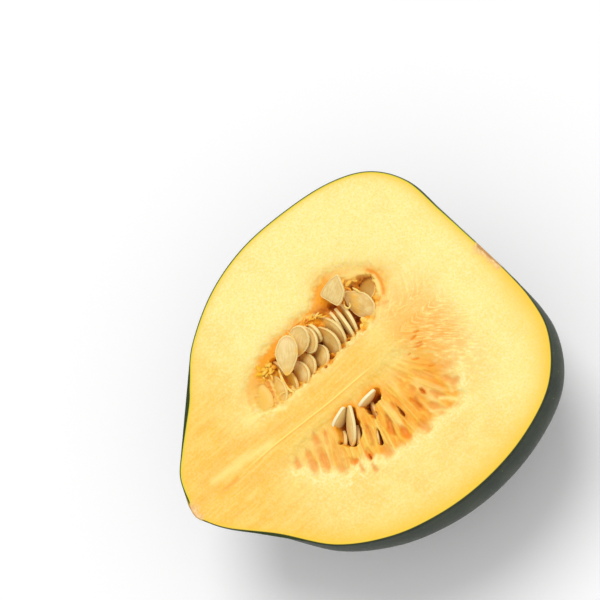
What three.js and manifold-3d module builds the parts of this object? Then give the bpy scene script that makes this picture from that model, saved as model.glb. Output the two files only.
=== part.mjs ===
// Half of an acorn squash, cut lengthwise, lying on its rounded back with its seeds in it.
// Millimetres. +X runs from the blossom tip to the stem end, +Y across the cut face, +Z out of it.
// The origin is under the middle of the half, on the surface that it rests on.
import * as THREE from 'three';
import { mergeVertices } from 'three/addons/utils/BufferGeometryUtils.js';
import Module from 'manifold-3d';

const wasm = await Module();
wasm.setup();

// ---- Driving dimensions ----
const LENGTH = 150; // blossom tip to stem end, along the core
const RIGHT_RADIUS = 66; // core to skin on the cut face, towards -Y
const LEFT_RADIUS = 69.5; // core to skin on the cut face, towards +Y
const RIB_RISE = 4.6; // crest of a rib over the furrow beside it
const REST_CUT = 0.8; // depth of the flat spots that the lowest ribs are worn to
const SEED_THICKNESS = 2.2;
const UPPER_BED_DEPTH = 13.5; // seed bed on the +Y side of the core
const LOWER_BED_DEPTH = 12; // seed bed on the -Y side

// ---- Resolution ----
const TURN_STEPS = 104; // facets round the whole squash
const LENGTH_STEPS = 44; // facets from tip to stem
const BED_TURN_STEPS = 36;
const BED_DEPTH_STEPS = 12;
const SEED_SIDES = 12;
const SEED_RINGS = 8;
const ARC_DIVISIONS = 600; // samples that even out the spacing along an edge curve
const REST_SEARCH_STEPS = 100; // places along a crest where its height is looked at
const WELD_DISTANCE = 1e-4;
const EPSILON = 1e-6;

// Edge of the cut face from blossom tip to stem end: share of LENGTH, share of the side's radius.
const RIGHT_EDGE = [
  [-0.013, 0], [-0.008, 0.07], [0.03, 0.21], [0.12, 0.432], [0.217, 0.708], [0.34, 0.885],
  [0.47, 0.973], [0.6, 0.998], [0.73, 0.965], [0.85, 0.872], [0.925, 0.745], [0.98, 0.56],
  [0.999, 0.36], [1, 0.17], [0.995, 0],
];
const LEFT_EDGE = [
  [-0.013, 0], [-0.008, 0.065], [0.014, 0.21], [0.062, 0.325], [0.15, 0.502], [0.187, 0.596],
  [0.257, 0.758], [0.385, 0.92], [0.525, 0.998], [0.675, 0.995], [0.807, 0.947], [0.905, 0.84],
  [0.963, 0.65], [0.978, 0.39], [0.99, 0.12], [0.995, 0],
];

// Furrows between the ribs, in degrees from the right edge of the cut face through the underside.
const FURROWS = [0, 27, 57, 90, 124, 157, 186];
const RIB_ROUNDNESS = 2.3; // power of the rib's section: higher is broader crests, tighter furrows
const RIB_START = 0.02; // shares of the way from tip to stem between which the ribs come up
const RIB_FULL = 0.55;
const FADE_BESIDE_CUT = 0.7; // share at which a rib beside the cut face starts to die away
const FADE_UNDERNEATH = 0.86; // and a rib on the underside
const FADE_END = 0.96; // share at which every rib has run out, around the stem scar
const LOWEST_RIBS = [2, 3]; // the two that it lies on, counted from the right edge

// Rims of the two seed beds on the cut face: x, y from the blossom tip and the core.
const UPPER_RIM = [
  [38, 17], [43, 25.5], [56, 30], [70, 33], [82, 33], [90, 38], [99, 39.5], [108, 34],
  [113.5, 25], [110, 15], [99, 11], [86, 8.5], [73, 8], [58, 6.5], [45, 8],
];
const LOWER_RIM = [
  [61, -3], [74, -3.5], [86, -6.5], [88, -15], [82, -26], [75, -34], [64, -33], [53, -23], [52, -10],
];
const BED_FLATNESS = 0.6; // below 1 widens the floor of a bed and steepens its wall

// Seeds: x, y, z of the middle (z from the cut face), heading and dip of the pointed end, roll
// about the long axis, all in degrees, then length and width.
const UPPER_SEEDS = [
  [95.5, 29.2, 3.6, 20, -28, -8, 11.4, 9.4],
  [99.2, 20.4, -2.4, 104, -2, -22, 15, 9.4],
  [104.9, 23.2, -4.6, 48, 12, -26, 11, 8.6],
  [92.4, 19.1, -4.2, 82, 8, -74, 14, 8.2],
  [89.6, 18.5, -3.8, 84, 3, -76, 15, 8.2],
  [87.3, 22.9, -5.6, 90, 16, -75, 12, 8],
  [84.8, 19.2, -3.2, 94, 4, -54, 15, 8.8],
  [81, 17.3, -3, 92, 6, -50, 14.4, 9],
  [78.4, 23.8, -2.8, 96, 9, -66, 9.6, 8],
  [75.2, 22.6, -1.1, 80, 11, -40, 12.2, 9],
  [71.4, 23.8, 0.8, -156, 30, 8, 14.2, 9.4],
  [65.2, 22.4, 3.4, -130, 8, -3, 15.2, 9],
  [74.8, 15.1, -3.8, 80, 16, -38, 10.6, 8.4],
  [68.4, 16, -4, 84, 17, -38, 11.4, 8.8],
  [64.5, 14.9, -3.5, 82, 12, -40, 11.8, 8.6],
  [59.3, 15.3, -4.6, 82, 16, -56, 11.4, 8],
  [53.2, 15.8, -3.2, 78, 12, -34, 14, 9],
  [46.6, 17, -2, 66, 3, -8, 13.5, 8.6],
  [57.8, 24, -6, 96, 8, -62, 9, 7.6],
];
const LOWER_SEEDS = [
  [64, -9.7, -3.6, 22, -36, 78, 12.2, 8],
  [66, -14.8, -2.4, 50, -20, -56, 16, 8],
  [77.3, -11.1, -2.4, 4, -26, 88, 10.4, 6.8],
  [76.2, -15.4, -7, 72, 4, -72, 8.2, 6.8],
  [70.4, -24.2, -4.8, 52, -24, -68, 9.8, 7.2],
  [60.1, -15.8, -7.2, 56, 6, -64, 7.8, 6],
  [65.1, -18.4, -6.6, 56, 8, -70, 9, 7],
];
const SEED_TAPER = 0.4; // how much narrower a seed is towards its point
const SEED_FULLNESS = 1.075; // widest value of the tapered outline, which the width is divided by
const SEED_BOXINESS = 0.72; // below 1 flattens the faces and squares the margin
const SEED_BEAK = 0.05; // share of the length that the point is drawn out
const SEED_BEAK_START = 0.7; // where the drawing out begins, from 0 at the middle to 1 at the point

const { lerp, smoothstep, degToRad } = THREE.MathUtils;

function edgeCurve(shares, radius) {
  const curve = new THREE.SplineCurve(
    shares.map(([along, out]) => new THREE.Vector2(along * LENGTH, out * radius)),
  );
  curve.arcLengthDivisions = ARC_DIVISIONS;
  return curve;
}

const rightEdge = edgeCurve(RIGHT_EDGE, RIGHT_RADIUS);
const leftEdge = edgeCurve(LEFT_EDGE, LEFT_RADIUS);

// Height of the ribs' section at a turn in degrees: 0 in a furrow, 1 on a crest.
function ribSection(turn) {
  const next = FURROWS.findIndex((furrow) => furrow > turn);
  const from = FURROWS[next - 1];
  const to = FURROWS[next];
  const offCrest = Math.abs(2 * turn - from - to) / (to - from);
  return 1 - offCrest ** RIB_ROUNDNESS;
}

// Height of the ribs over the smooth body, which passes through both edges of the cut face.
function ribHeight(share, turn, leftShare) {
  const fadeStart = lerp(FADE_BESIDE_CUT, FADE_UNDERNEATH, Math.sin(degToRad(turn)));
  const grown = smoothstep(share, RIB_START, RIB_FULL) * (1 - smoothstep(share, fadeStart, FADE_END));
  const atEdges = lerp(ribSection(0), ribSection(180), leftShare);
  return RIB_RISE * grown * (ribSection(turn) - atEdges);
}

// Point of the skin: share of the way from tip to stem, and turn in degrees from the right edge.
function skinPoint(share, turn) {
  const angle = degToRad(turn);
  const leftShare = (1 - Math.cos(angle)) / 2;
  const profile = rightEdge.getPointAt(share).lerp(leftEdge.getPointAt(share), leftShare);
  const tangent = rightEdge.getTangentAt(share).lerp(leftEdge.getTangentAt(share), leftShare).normalize();
  const height = ribHeight(share, turn, leftShare);
  const along = profile.x - tangent.y * height;
  const out = Math.max(profile.y + tangent.x * height, 0);
  return new THREE.Vector3(along, -out * Math.cos(angle), -out * Math.sin(angle));
}

// The whole squash is a sphere whose every vertex is moved onto the skin. The part above the cut
// face mirrors the part below it, and the knife takes it away.
function wholeSquash() {
  const geometry = new THREE.SphereGeometry(1, TURN_STEPS, LENGTH_STEPS);
  const { position } = geometry.attributes;
  const direction = new THREE.Vector3();
  for (let index = 0; index < position.count; index += 1) {
    direction.fromBufferAttribute(position, index);
    const share = 1 - Math.acos(THREE.MathUtils.clamp(direction.y, -1, 1)) / Math.PI;
    const turn = Math.abs(Math.atan2(direction.z, -direction.x)) * THREE.MathUtils.RAD2DEG;
    const point = skinPoint(share, Math.min(turn, 180));
    const side = direction.z > EPSILON ? 1 : -1;
    const height = Math.abs(direction.z) < EPSILON ? 0 : side * point.z;
    position.setXYZ(index, point.x, point.y, height);
  }
  return geometry;
}

// A bowl let into the cut face: its rim is a closed curve through the points given.
function bowl(rimPoints, depth) {
  const rim = new THREE.CatmullRomCurve3(rimPoints.map(([x, y]) => new THREE.Vector3(x, y, 0)), true);
  const middle = new THREE.Vector3();
  rimPoints.forEach(([x, y]) => middle.add(new THREE.Vector3(x, y, 0)));
  middle.divideScalar(rimPoints.length);
  const geometry = new THREE.SphereGeometry(1, BED_TURN_STEPS, BED_DEPTH_STEPS);
  const { position } = geometry.attributes;
  for (let index = 0; index < position.count; index += 1) {
    const up = position.getY(index);
    const reach = Math.sqrt(Math.max(0, 1 - up * up)) ** BED_FLATNESS;
    const round = Math.atan2(position.getZ(index), position.getX(index)) / (2 * Math.PI);
    const point = rim.getPoint((round + 1) % 1).sub(middle).multiplyScalar(reach).add(middle);
    position.setXYZ(index, point.x, point.y, up * depth);
  }
  return geometry;
}

// A squash seed lying along X, its point at +X and its faces up and down.
function seedGeometry(length, width) {
  const geometry = new THREE.SphereGeometry(1, SEED_SIDES, SEED_RINGS);
  const { position } = geometry.attributes;
  for (let index = 0; index < position.count; index += 1) {
    const along = position.getY(index);
    const girth = Math.sqrt(Math.max(0, 1 - along * along));
    const angle = Math.atan2(-position.getZ(index), position.getX(index));
    const side = Math.sign(Math.cos(angle)) * Math.abs(Math.cos(angle)) ** SEED_BOXINESS;
    const face = Math.sign(Math.sin(angle)) * Math.abs(Math.sin(angle)) ** SEED_BOXINESS;
    const outline = (girth * (1 - SEED_TAPER * along)) / SEED_FULLNESS;
    const beak = SEED_BEAK * smoothstep(along, SEED_BEAK_START, 1);
    position.setXYZ(
      index,
      (along / 2 + beak) * length,
      (side * outline * width) / 2,
      (face * girth ** SEED_BOXINESS * SEED_THICKNESS) / 2,
    );
  }
  return geometry;
}

function toSolid(geometry) {
  const bare = geometry.clone();
  bare.deleteAttribute('normal');
  bare.deleteAttribute('uv');
  const welded = mergeVertices(bare, WELD_DISTANCE);
  const mesh = new wasm.Mesh({
    numProp: 3,
    vertProperties: new Float32Array(welded.attributes.position.array),
    triVerts: new Uint32Array(welded.index.array),
  });
  mesh.merge();
  return new wasm.Manifold(mesh);
}

function toGeometry(solid) {
  const mesh = solid.getMesh();
  const geometry = new THREE.BufferGeometry();
  geometry.setAttribute('position', new THREE.BufferAttribute(mesh.vertProperties, 3));
  geometry.setIndex(new THREE.BufferAttribute(mesh.triVerts, 1));
  geometry.computeVertexNormals();
  return geometry;
}

// A block with one face at the height given, which takes away all of the squash above it
// (side 1) or below it (side -1).
function knifeBlock(height, side) {
  const size = 3 * LENGTH;
  return toSolid(new THREE.BoxGeometry(size, size, size).translate(0, 0, height + (side * size) / 2));
}

// Height of the lower of two crests' lowest points, so that both get a flat spot.
function restHeight() {
  const crests = LOWEST_RIBS.map((rib) => (FURROWS[rib] + FURROWS[rib + 1]) / 2);
  const shares = Array.from({ length: REST_SEARCH_STEPS }, (_, step) => step / REST_SEARCH_STEPS);
  const lowest = crests.map((crest) => Math.min(...shares.map((share) => skinPoint(share, crest).z)));
  return Math.max(...lowest) + REST_CUT;
}

const skinMaterial = new THREE.MeshStandardMaterial({ color: 0x2c3a2e, roughness: 0.5, metalness: 0 });
const seedMaterial = new THREE.MeshStandardMaterial({ color: 0xe4cd98, roughness: 0.55, metalness: 0 });

function squashHalf() {
  const solid = toSolid(wholeSquash())
    .subtract(knifeBlock(0, 1))
    .subtract(knifeBlock(restHeight(), -1))
    .subtract(toSolid(bowl(UPPER_RIM, UPPER_BED_DEPTH)))
    .subtract(toSolid(bowl(LOWER_RIM, LOWER_BED_DEPTH)));
  const mesh = new THREE.Mesh(toGeometry(solid), skinMaterial);
  mesh.name = 'squash_half';
  return mesh;
}

function seedMesh([x, y, z, heading, dip, roll, length, width], name) {
  const mesh = new THREE.Mesh(seedGeometry(length, width), seedMaterial);
  mesh.name = name;
  mesh.position.set(x, y, z);
  mesh.rotation.set(degToRad(roll), degToRad(dip), degToRad(heading), 'ZYX');
  return mesh;
}

function seedRow(rows, prefix) {
  const group = new THREE.Group();
  rows.forEach((row, index) => {
    const number = String(index + 1).padStart(2, '0');
    group.add(seedMesh(row, `${prefix}_${number}`));
  });
  return group;
}

function acornSquashHalf() {
  const group = new THREE.Group();
  group.add(squashHalf());
  group.add(seedRow(UPPER_SEEDS, 'upper_seed'));
  group.add(seedRow(LOWER_SEEDS, 'lower_seed'));
  const box = new THREE.Box3().setFromObject(group);
  const middle = box.getCenter(new THREE.Vector3());
  group.position.set(-middle.x, -middle.y, -box.min.z);
  return group;
}

export default acornSquashHalf();
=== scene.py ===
"""Looks of half an acorn squash: ribbed rind, cut flesh, two fibrous seed beds and their seeds.

Everything is worked out in millimetres in the squash's own frame: x runs from the blossom tip
to the stem end, y across the cut face and z out of it, with the origin on the core at the tip.
to_row() turns that into metres in the row's frame.
"""
import math

import bpy
import numpy as np
from mathutils import Matrix, Vector
from mathutils.geometry import delaunay_2d_cdt


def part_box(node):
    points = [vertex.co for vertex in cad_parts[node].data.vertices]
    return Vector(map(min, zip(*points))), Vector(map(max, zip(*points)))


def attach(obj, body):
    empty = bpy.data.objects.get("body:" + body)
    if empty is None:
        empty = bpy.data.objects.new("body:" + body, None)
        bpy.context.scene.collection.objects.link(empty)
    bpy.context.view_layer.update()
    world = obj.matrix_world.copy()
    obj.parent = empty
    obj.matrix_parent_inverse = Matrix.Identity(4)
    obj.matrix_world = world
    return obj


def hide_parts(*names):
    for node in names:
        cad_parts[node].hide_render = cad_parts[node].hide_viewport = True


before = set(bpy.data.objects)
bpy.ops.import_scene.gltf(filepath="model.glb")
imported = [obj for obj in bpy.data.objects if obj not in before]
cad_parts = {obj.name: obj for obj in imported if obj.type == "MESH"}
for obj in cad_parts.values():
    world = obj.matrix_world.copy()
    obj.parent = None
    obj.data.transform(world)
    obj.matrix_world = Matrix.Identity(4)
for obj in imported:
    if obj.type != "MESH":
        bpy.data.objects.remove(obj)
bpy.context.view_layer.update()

MM = 0.001
BARELY = 1e-9  # keeps what has no length from being divided by 0

# ---- Driving dimensions, the same as the solids have ----
LENGTH = 150.0
RIGHT_RADIUS = 66.0
LEFT_RADIUS = 69.5
RIB_RISE = 4.6
RIGHT_EDGE = [
    (-0.013, 0), (-0.008, 0.07), (0.03, 0.21), (0.12, 0.432), (0.217, 0.708), (0.34, 0.885),
    (0.47, 0.973), (0.6, 0.998), (0.73, 0.965), (0.85, 0.872), (0.925, 0.745), (0.98, 0.56),
    (0.999, 0.36), (1, 0.17), (0.995, 0),
]
LEFT_EDGE = [
    (-0.013, 0), (-0.008, 0.065), (0.014, 0.21), (0.062, 0.325), (0.15, 0.502), (0.187, 0.596),
    (0.257, 0.758), (0.385, 0.92), (0.525, 0.998), (0.675, 0.995), (0.807, 0.947), (0.905, 0.84),
    (0.963, 0.65), (0.978, 0.39), (0.99, 0.12), (0.995, 0),
]
FURROWS = np.array([0, 27, 57, 90, 124, 157, 186], float)  # degrees from the right edge
RIB_ROUNDNESS = 2.3
RIB_START = 0.02
RIB_FULL = 0.55
FADE_BESIDE_CUT = 0.7
FADE_UNDERNEATH = 0.86
FADE_END = 0.96

# ---- Rind, scars and cut edge ----
FURROW_SOFTNESS = 2.0  # degrees over which the bottom of a furrow is rounded
RIND = 0.5  # thickness of the green skin, seen as a line round the cut face
STEM_SCAR_RADIUS = 6.8
STEM_SCAR_DEPTH = 1.7
BLOSSOM_SCAR_RADIUS = 4.2
BLOSSOM_SCAR_DEPTH = 2.4

# ---- Resolution ----
LENGTH_STEPS = 250
TURN_STEPS = 124
ARC_DIVISIONS = 600
TANGENT_REACH = 0.0005  # share of the arc on each side that a direction is taken over
FURROW_SAMPLES = 7
FIBRE_HALVINGS = 30
FINE_SPACING = 0.36  # between the face's points in and around the seed beds
COARSE_SPACING = 1.7  # and over the plain flesh
COARSE_CLEARANCE = 0.6  # times that spacing, from the innermost ring
BESIDE_UPPER = 3.5  # how far the fine points reach round the upper bed
BESIDE_FAN = 2.5  # and round the fan
# Rings of points along the rind: distance from the edge, and the edge points for each of theirs.
EDGE_RINGS = ((0.35, 1), (0.75, 1), (1.4, 2), (2.6, 2), (4.4, 3))
RING_CLEARANCE = 0.93  # share of its distance that a ring's point keeps from every part of the edge
WELD_DISTANCE = 1e-6
INSIDE_ONLY = 1  # the kind of triangulation that keeps to the inside of the loop


def lerp(start, end, share):
    return start + (end - start) * share


def smoothstep(value, low, high):
    share = np.clip((value - low) / (high - low), 0, 1)
    return share * share * (3 - 2 * share)


def fade_out(value, low, high):
    return 1 - smoothstep(value, low, high)


class ValueNoise:
    """Smooth noise from 0 to 1 over the plane, the same every run."""

    SIZE = 256

    def __init__(self, seed):
        self.values = np.random.default_rng(seed).random((self.SIZE, self.SIZE))

    def at(self, x, y, scale, shift=(0, 0)):
        column, row = (x + shift[0]) / scale, (y + shift[1]) / scale
        left, low = np.floor(column).astype(int), np.floor(row).astype(int)
        across = smoothstep(column - left, 0, 1)
        up = smoothstep(row - low, 0, 1)
        corner = [
            [self.values[(low + i) % self.SIZE, (left + j) % self.SIZE] for j in (0, 1)]
            for i in (0, 1)
        ]
        return lerp(lerp(corner[0][0], corner[0][1], across), lerp(corner[1][0], corner[1][1], across), up)

    def centred(self, x, y, scale, shift=(0, 0)):
        return 2 * self.at(x, y, scale, shift) - 1

    def pattern(self, x, y, rows):
        """Centred noise of several sizes added up. A row is a size, a strength and a shift along x."""
        return sum(strength * self.centred(x, y, size, (shift, 0)) for size, strength, shift in rows)


# ---- Outline and rind ----
def through(points, place, closed=False):
    """Points of a smooth curve through the given ones: place 0 is the first, 1 the next."""
    points = np.asarray(points, float)
    count = len(points)
    place = np.asarray(place, float)
    if closed:
        first = np.floor(place).astype(int)
        around = [points[(first + k) % count] for k in (-1, 0, 1, 2)]
    else:
        first = np.clip(np.floor(place).astype(int), 0, count - 2)
        around = [points[np.clip(first + k, 0, count - 1)] for k in (-1, 0, 1, 2)]
    before, start, end, after = around
    step = (place - first)[:, None]
    leave = (end - before) / 2
    arrive = (after - start) / 2
    return (
        (2 * start - 2 * end + leave + arrive) * step**3
        + (3 * end - 3 * start - 2 * leave - arrive) * step**2
        + leave * step
        + start
    )


class Edge:
    """One side of the cut face from tip to stem, read at shares of its arc length."""

    def __init__(self, shares, radius):
        self.points = [(along * LENGTH, out * radius) for along, out in shares]
        self.places = np.linspace(0, len(shares) - 1, ARC_DIVISIONS + 1)
        steps = np.linalg.norm(np.diff(through(self.points, self.places), axis=0), axis=1)
        self.reached = np.concatenate([[0], np.cumsum(steps)]) / steps.sum()

    def at(self, share):
        return through(self.points, np.interp(share, self.reached, self.places))

    def tangent(self, share):
        before = self.at(np.clip(share - TANGENT_REACH, 0, 1))
        ahead = self.at(np.clip(share + TANGENT_REACH, 0, 1)) - before
        return ahead / np.linalg.norm(ahead, axis=1, keepdims=True)


RIGHT = Edge(RIGHT_EDGE, RIGHT_RADIUS)
LEFT = Edge(LEFT_EDGE, LEFT_RADIUS)


def rib_section(turn):
    """Height across the ribs: 0 in a furrow, 1 on a crest, with the furrows' bottoms rounded."""
    total = 0
    offsets = np.linspace(-FURROW_SOFTNESS, FURROW_SOFTNESS, FURROW_SAMPLES)
    for offset in offsets:
        shifted = np.clip(turn + offset, 0, 180)
        following = np.searchsorted(FURROWS, shifted, side="right")
        start, end = FURROWS[following - 1], FURROWS[following]
        total = total + 1 - np.abs((2 * shifted - start - end) / (end - start)) ** RIB_ROUNDNESS
    return total / len(offsets)


def skin_points(share, turn):
    """Points of the rind. share runs from tip to stem, turn in degrees from the right edge."""
    angle = np.radians(turn)
    left_share = (1 - np.cos(angle)) / 2
    profile = lerp(RIGHT.at(share), LEFT.at(share), left_share[:, None])
    tangent = lerp(RIGHT.tangent(share), LEFT.tangent(share), left_share[:, None])
    tangent /= np.linalg.norm(tangent, axis=1, keepdims=True)
    fade_start = lerp(FADE_BESIDE_CUT, FADE_UNDERNEATH, np.sin(angle))
    grown = smoothstep(share, RIB_START, RIB_FULL) * fade_out(share, fade_start, FADE_END)
    ends = rib_section(np.array([0.0, 180.0]))
    height = RIB_RISE * grown * (rib_section(turn) - lerp(ends[0], ends[1], left_share))
    along = profile[:, 0] - tangent[:, 1] * height
    out = np.maximum(profile[:, 1] + tangent[:, 0] * height, 0)
    return np.stack([along, -out * np.cos(angle), -out * np.sin(angle)], axis=1)


def skin_grid():
    share, turn = np.meshgrid(
        np.linspace(0, 1, LENGTH_STEPS + 1), np.linspace(0, 180, TURN_STEPS + 1), indexing="ij"
    )
    points = skin_points(share.ravel(), turn.ravel())
    grid = points.reshape(LENGTH_STEPS + 1, TURN_STEPS + 1, 3)
    grid[0] = grid[0].mean(axis=0)
    grid[-1] = grid[-1].mean(axis=0)
    return grid


# ---- Row frame ----
SKIN = skin_grid()
BOX_LOW, BOX_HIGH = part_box("squash_half")
OFFSET = np.array([
    BOX_LOW.x / MM - SKIN[..., 0].min(),
    BOX_LOW.y / MM - SKIN[..., 1].min(),
    BOX_HIGH.z / MM,
])


def to_row(points):
    return (np.asarray(points, float) + OFFSET) * MM


def from_row(points):
    return np.asarray(points, float) / MM - OFFSET


# ---- Distances on the cut face ----
def distance_to_line(points, line, closed=False):
    """Distance from each point to a polyline."""
    line = np.asarray(line, float)
    ends = np.roll(line, -1, axis=0) if closed else line[1:]
    starts = line if closed else line[:-1]
    best = np.full(len(points), np.inf)
    for start, end in zip(starts, ends):
        along = end - start
        share = np.clip((points - start) @ along / max(along @ along, BARELY), 0, 1)
        best = np.minimum(best, np.linalg.norm(points - start - share[:, None] * along, axis=1))
    return best


def is_inside(points, loop):
    x, y = points[:, 0], points[:, 1]
    inside = np.zeros(len(points), bool)
    for (x0, y0), (x1, y1) in zip(loop, np.roll(loop, -1, axis=0)):
        crosses = (y0 > y) != (y1 > y)
        if y0 != y1:
            inside ^= crosses & (x < (x1 - x0) * (y - y0) / (y1 - y0) + x0)
    return inside


def smooth_loop(points, per_point=8):
    return through(points, np.arange(len(points) * per_point) / per_point, closed=True)


def depth_inside(points, loop):
    """Distance to a closed loop, positive inside it and negative outside."""
    distance = distance_to_line(points, loop, closed=True)
    return np.where(is_inside(points, loop), distance, -distance)


# ---- Fibres of the lower side: each starts at its foot on the core and runs out over the face ----
FIBRE_FEET = np.array([40, 56, 64, 74, 81, 84, 87, 92, 97, 102, 115], float)
FIBRE_LEANS = np.array([-0.33, -0.4, -0.38, -0.35, -0.2, -0.05, 0.16, 0.6, 1.0, 1.15, 1.2])
FEET_SOUGHT = (-200, 300)


def fibre_lean(foot):
    """Millimetres that a fibre runs towards the stem for each one it runs out from the core."""
    return np.interp(foot, FIBRE_FEET, FIBRE_LEANS)


def fibre_foot(x, y):
    """Where on the core the fibre through a point starts."""
    low, high = (np.full_like(x, end) for end in FEET_SOUGHT)
    for _ in range(FIBRE_HALVINGS):
        middle = (low + high) / 2
        beyond = middle + np.abs(y) * fibre_lean(middle) > x
        high = np.where(beyond, middle, high)
        low = np.where(beyond, low, middle)
    return (low + high) / 2


# ---- Seed beds ----
# Rim of the upper bed, clockwise from its tip end.
UPPER_RIM = [
    (41.6, 12.5), (41.8, 19.5), (46.5, 25.4), (55, 28.8), (63, 30.3), (70, 30.5), (77, 31), (83, 30.5),
    (87, 33), (91, 35.6), (95.5, 37), (100.5, 36), (105.5, 32.6), (110, 28), (111.3, 24), (110, 18.5),
    (107, 15), (103, 13.3), (99.5, 11), (95, 8.8), (90, 9.8), (86, 10), (82, 9.1), (78, 8.9),
    (74, 8.9), (68, 9.6), (62, 9.5), (58, 9.6), (51, 9.2), (45, 9.6),
]
# How deep the bed is at a distance inside its rim: a soft bank on the far side, away from the
# core, and a torn drop on the near side.
BED_INSIDE = (0, 0.6, 1.5, 3, 4.5, 6.5, 9)
FAR_BANK = (0, 0.35, 0.8, 1.6, 2.8, 6, 12)
NEAR_BANK = (0, 0.7, 1.7, 3.4, 5.6, 9, 12)
# How deep the pulp lies between the upper seeds: x, y, depth.
UPPER_PULP = [
    (46, 13, 1.2), (45, 20, 1.2), (49, 24, 1.6), (51, 11, 1.6), (52, 18, 3.0), (55, 13, 2.8),
    (55, 26, 1.8), (58, 11, 2.6), (60, 18, 6), (61, 28, 1.8), (64, 14, 7), (66, 22, 6),
    (68, 29.5, 1.6), (70, 14, 7), (72, 27, 4), (76, 14, 7), (77, 22, 6), (79, 28.5, 2.6),
    (81, 17, 7), (83, 11.5, 3.5), (85, 25, 3.6), (87, 17, 7.5), (87, 28, 2.8), (90, 30.5, 3),
    (91, 26.5, 4.6), (92, 16, 7), (96, 12, 1.4), (97, 20, 7), (97, 34, 3.6), (100, 14, 3),
    (103, 20, 6), (104, 26, 6), (104, 32, 2), (106, 17, 2.2), (109, 22, 1.8),
]
# Dark gaps torn in the pulp beside the seeds of both beds: x, y, radius, depth.
GAPS = [
    (94, 17.4, 1.5, 8), (91, 15.4, 1.1, 6), (86.6, 12.2, 0.9, 6), (77.3, 11.7, 1.0, 6),
    (77.3, 20, 1.3, 7), (73.3, 9.9, 0.8, 4.5), (68, 19.8, 1.3, 7), (59, 25.3, 1.5, 6.5),
    (55.6, 24.2, 0.7, 4.5), (61.6, 16.3, 0.8, 6), (100.5, 28.2, 1.2, 6), (105, 28, 1.1, 5),
    (90, 27.5, 2.0, 6.5), (63.5, 10.6, 0.7, 3.5), (105.2, 25.8, 2.8, 8.2), (107.4, 25.2, 2.4, 7.2),
    (106.6, 22.4, 1.9, 6), (58.6, 23.3, 1.3, 7), (58.6, -16.9, 0.8, 9), (60.9, -18.4, 0.7, 9),
    (63.4, -21.6, 0.8, 11), (75.8, -17.4, 1.1, 11), (75.6, -15.2, 1.7, 11), (75.2, -12.9, 1.0, 10),
    (81.2, -12.6, 1.6, 10),
]
# Outer edge of the fibrous fan on the lower side, then back along the core.
LOWER_FAN = [
    (40, -7), (37.5, -11.5), (40, -16), (44.5, -22), (48.5, -26.5), (52.5, -30), (57.6, -31),
    (62, -32), (66.3, -35), (72, -36.8), (79.8, -38.8), (84, -37.2), (88.5, -39), (93, -37.8),
    (99, -39.8), (105, -38.6), (109, -36), (110.5, -31), (112, -26), (114, -19), (113, -11),
    (108, -5), (98, -2.5), (88, -3.5), (76, -4.5), (64, -5.5), (52, -5), (45, -6),
]
# Pits between the fibres: inner end, outer end, half width, depth.
PITS = [
    (42, -8.9, 39.9, -15.3, 2.1, 0.5), (47.2, -8.9, 43.5, -22.2, 2.3, 0.8),
    (53.5, -6.1, 51.4, -13.1, 1.6, 0.5), (51.6, -11.7, 47.6, -24.7, 2.6, 0.8),
    (57.8, -14.1, 51.6, -29.8, 2.5, 0.9), (57.3, -8.5, 54.1, -15.5, 1.3, 0.6),
    (56.9, -23.2, 59.3, -28.4, 1.7, 1.0), (59.5, -27.5, 58.4, -33.2, 1.6, 0.5),
    (65.2, -24.9, 63.6, -31.7, 1.7, 1.2), (63.5, -30.6, 61.9, -36.3, 1.6, 0.4),
    (71.2, -28.1, 69.7, -36.1, 2.5, 0.8), (71, -16.6, 68, -25.8, 0.7, 0.9),
    (79.7, -19.1, 75.6, -29.5, 1.4, 1.6), (89.9, -21.5, 91.1, -30.4, 1.5, 1.7),
    (95.3, -21.2, 95.5, -24.8, 0.8, 2.0), (92.8, -17.4, 94, -22.1, 1.1, 0.8),
    (87, -30.4, 88.1, -38.1, 2.6, 1.1), (80.9, -27.5, 79.9, -35.4, 2.0, 1.2),
    (93.5, -26.9, 97.4, -36.7, 2.4, 0.9), (105, -23.5, 108.6, -31, 2.6, 0.6),
    (99.6, -15.7, 102.4, -23.4, 2.0, 0.5), (97.7, -13.4, 99.7, -19.4, 1.2, 0.4),
    (97.2, -24.6, 101.4, -31.6, 2.4, 0.6),
]
# Slits that open right through to the hollow below, in the same terms.
SLITS = [
    (73.2, -22.2, 69.9, -29.2, 1.1, 9), (84.4, -20.8, 84, -26.6, 0.8, 6),
    (64.3, -27.2, 63.5, -30.6, 0.6, 5),
]
# Short tears in the feathery flesh beyond the stem end of the beds, in the same terms.
TEARS = [
    (104.6, -5.1, 108.2, -5, 0.5, 0.5), (107, -3.4, 110.1, -4.6, 0.5, 0.5),
    (103.8, -8.1, 107.9, -9.7, 0.6, 0.6), (105.1, -7.4, 108.2, -8.7, 0.4, 0.5),
    (99.8, -8.4, 102, -8.8, 0.5, 0.3), (99.9, -10.7, 103.3, -12.7, 0.5, 0.3),
    (102.3, -17, 106.2, -19, 0.6, 0.4),
]
# Spots of the fan that have turned deep orange: x, y, radius, strength.
EMBERS = [
    (58.8, -26.6, 1.3, 1), (64, -28.4, 1.4, 1), (80, -32, 1.2, 1), (80.3, -29.6, 1.6, 0.5),
    (52.6, -9.2, 1.5, 0.6), (93.4, -19.6, 1.2, 0.7), (57, -10, 1.6, 0.5), (84.4, -20, 1.8, 0.5),
    (62, -19.6, 1.5, 0.5), (90.6, -26, 2.0, 0.4), (95.4, -23, 1.4, 0.5),
]
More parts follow.
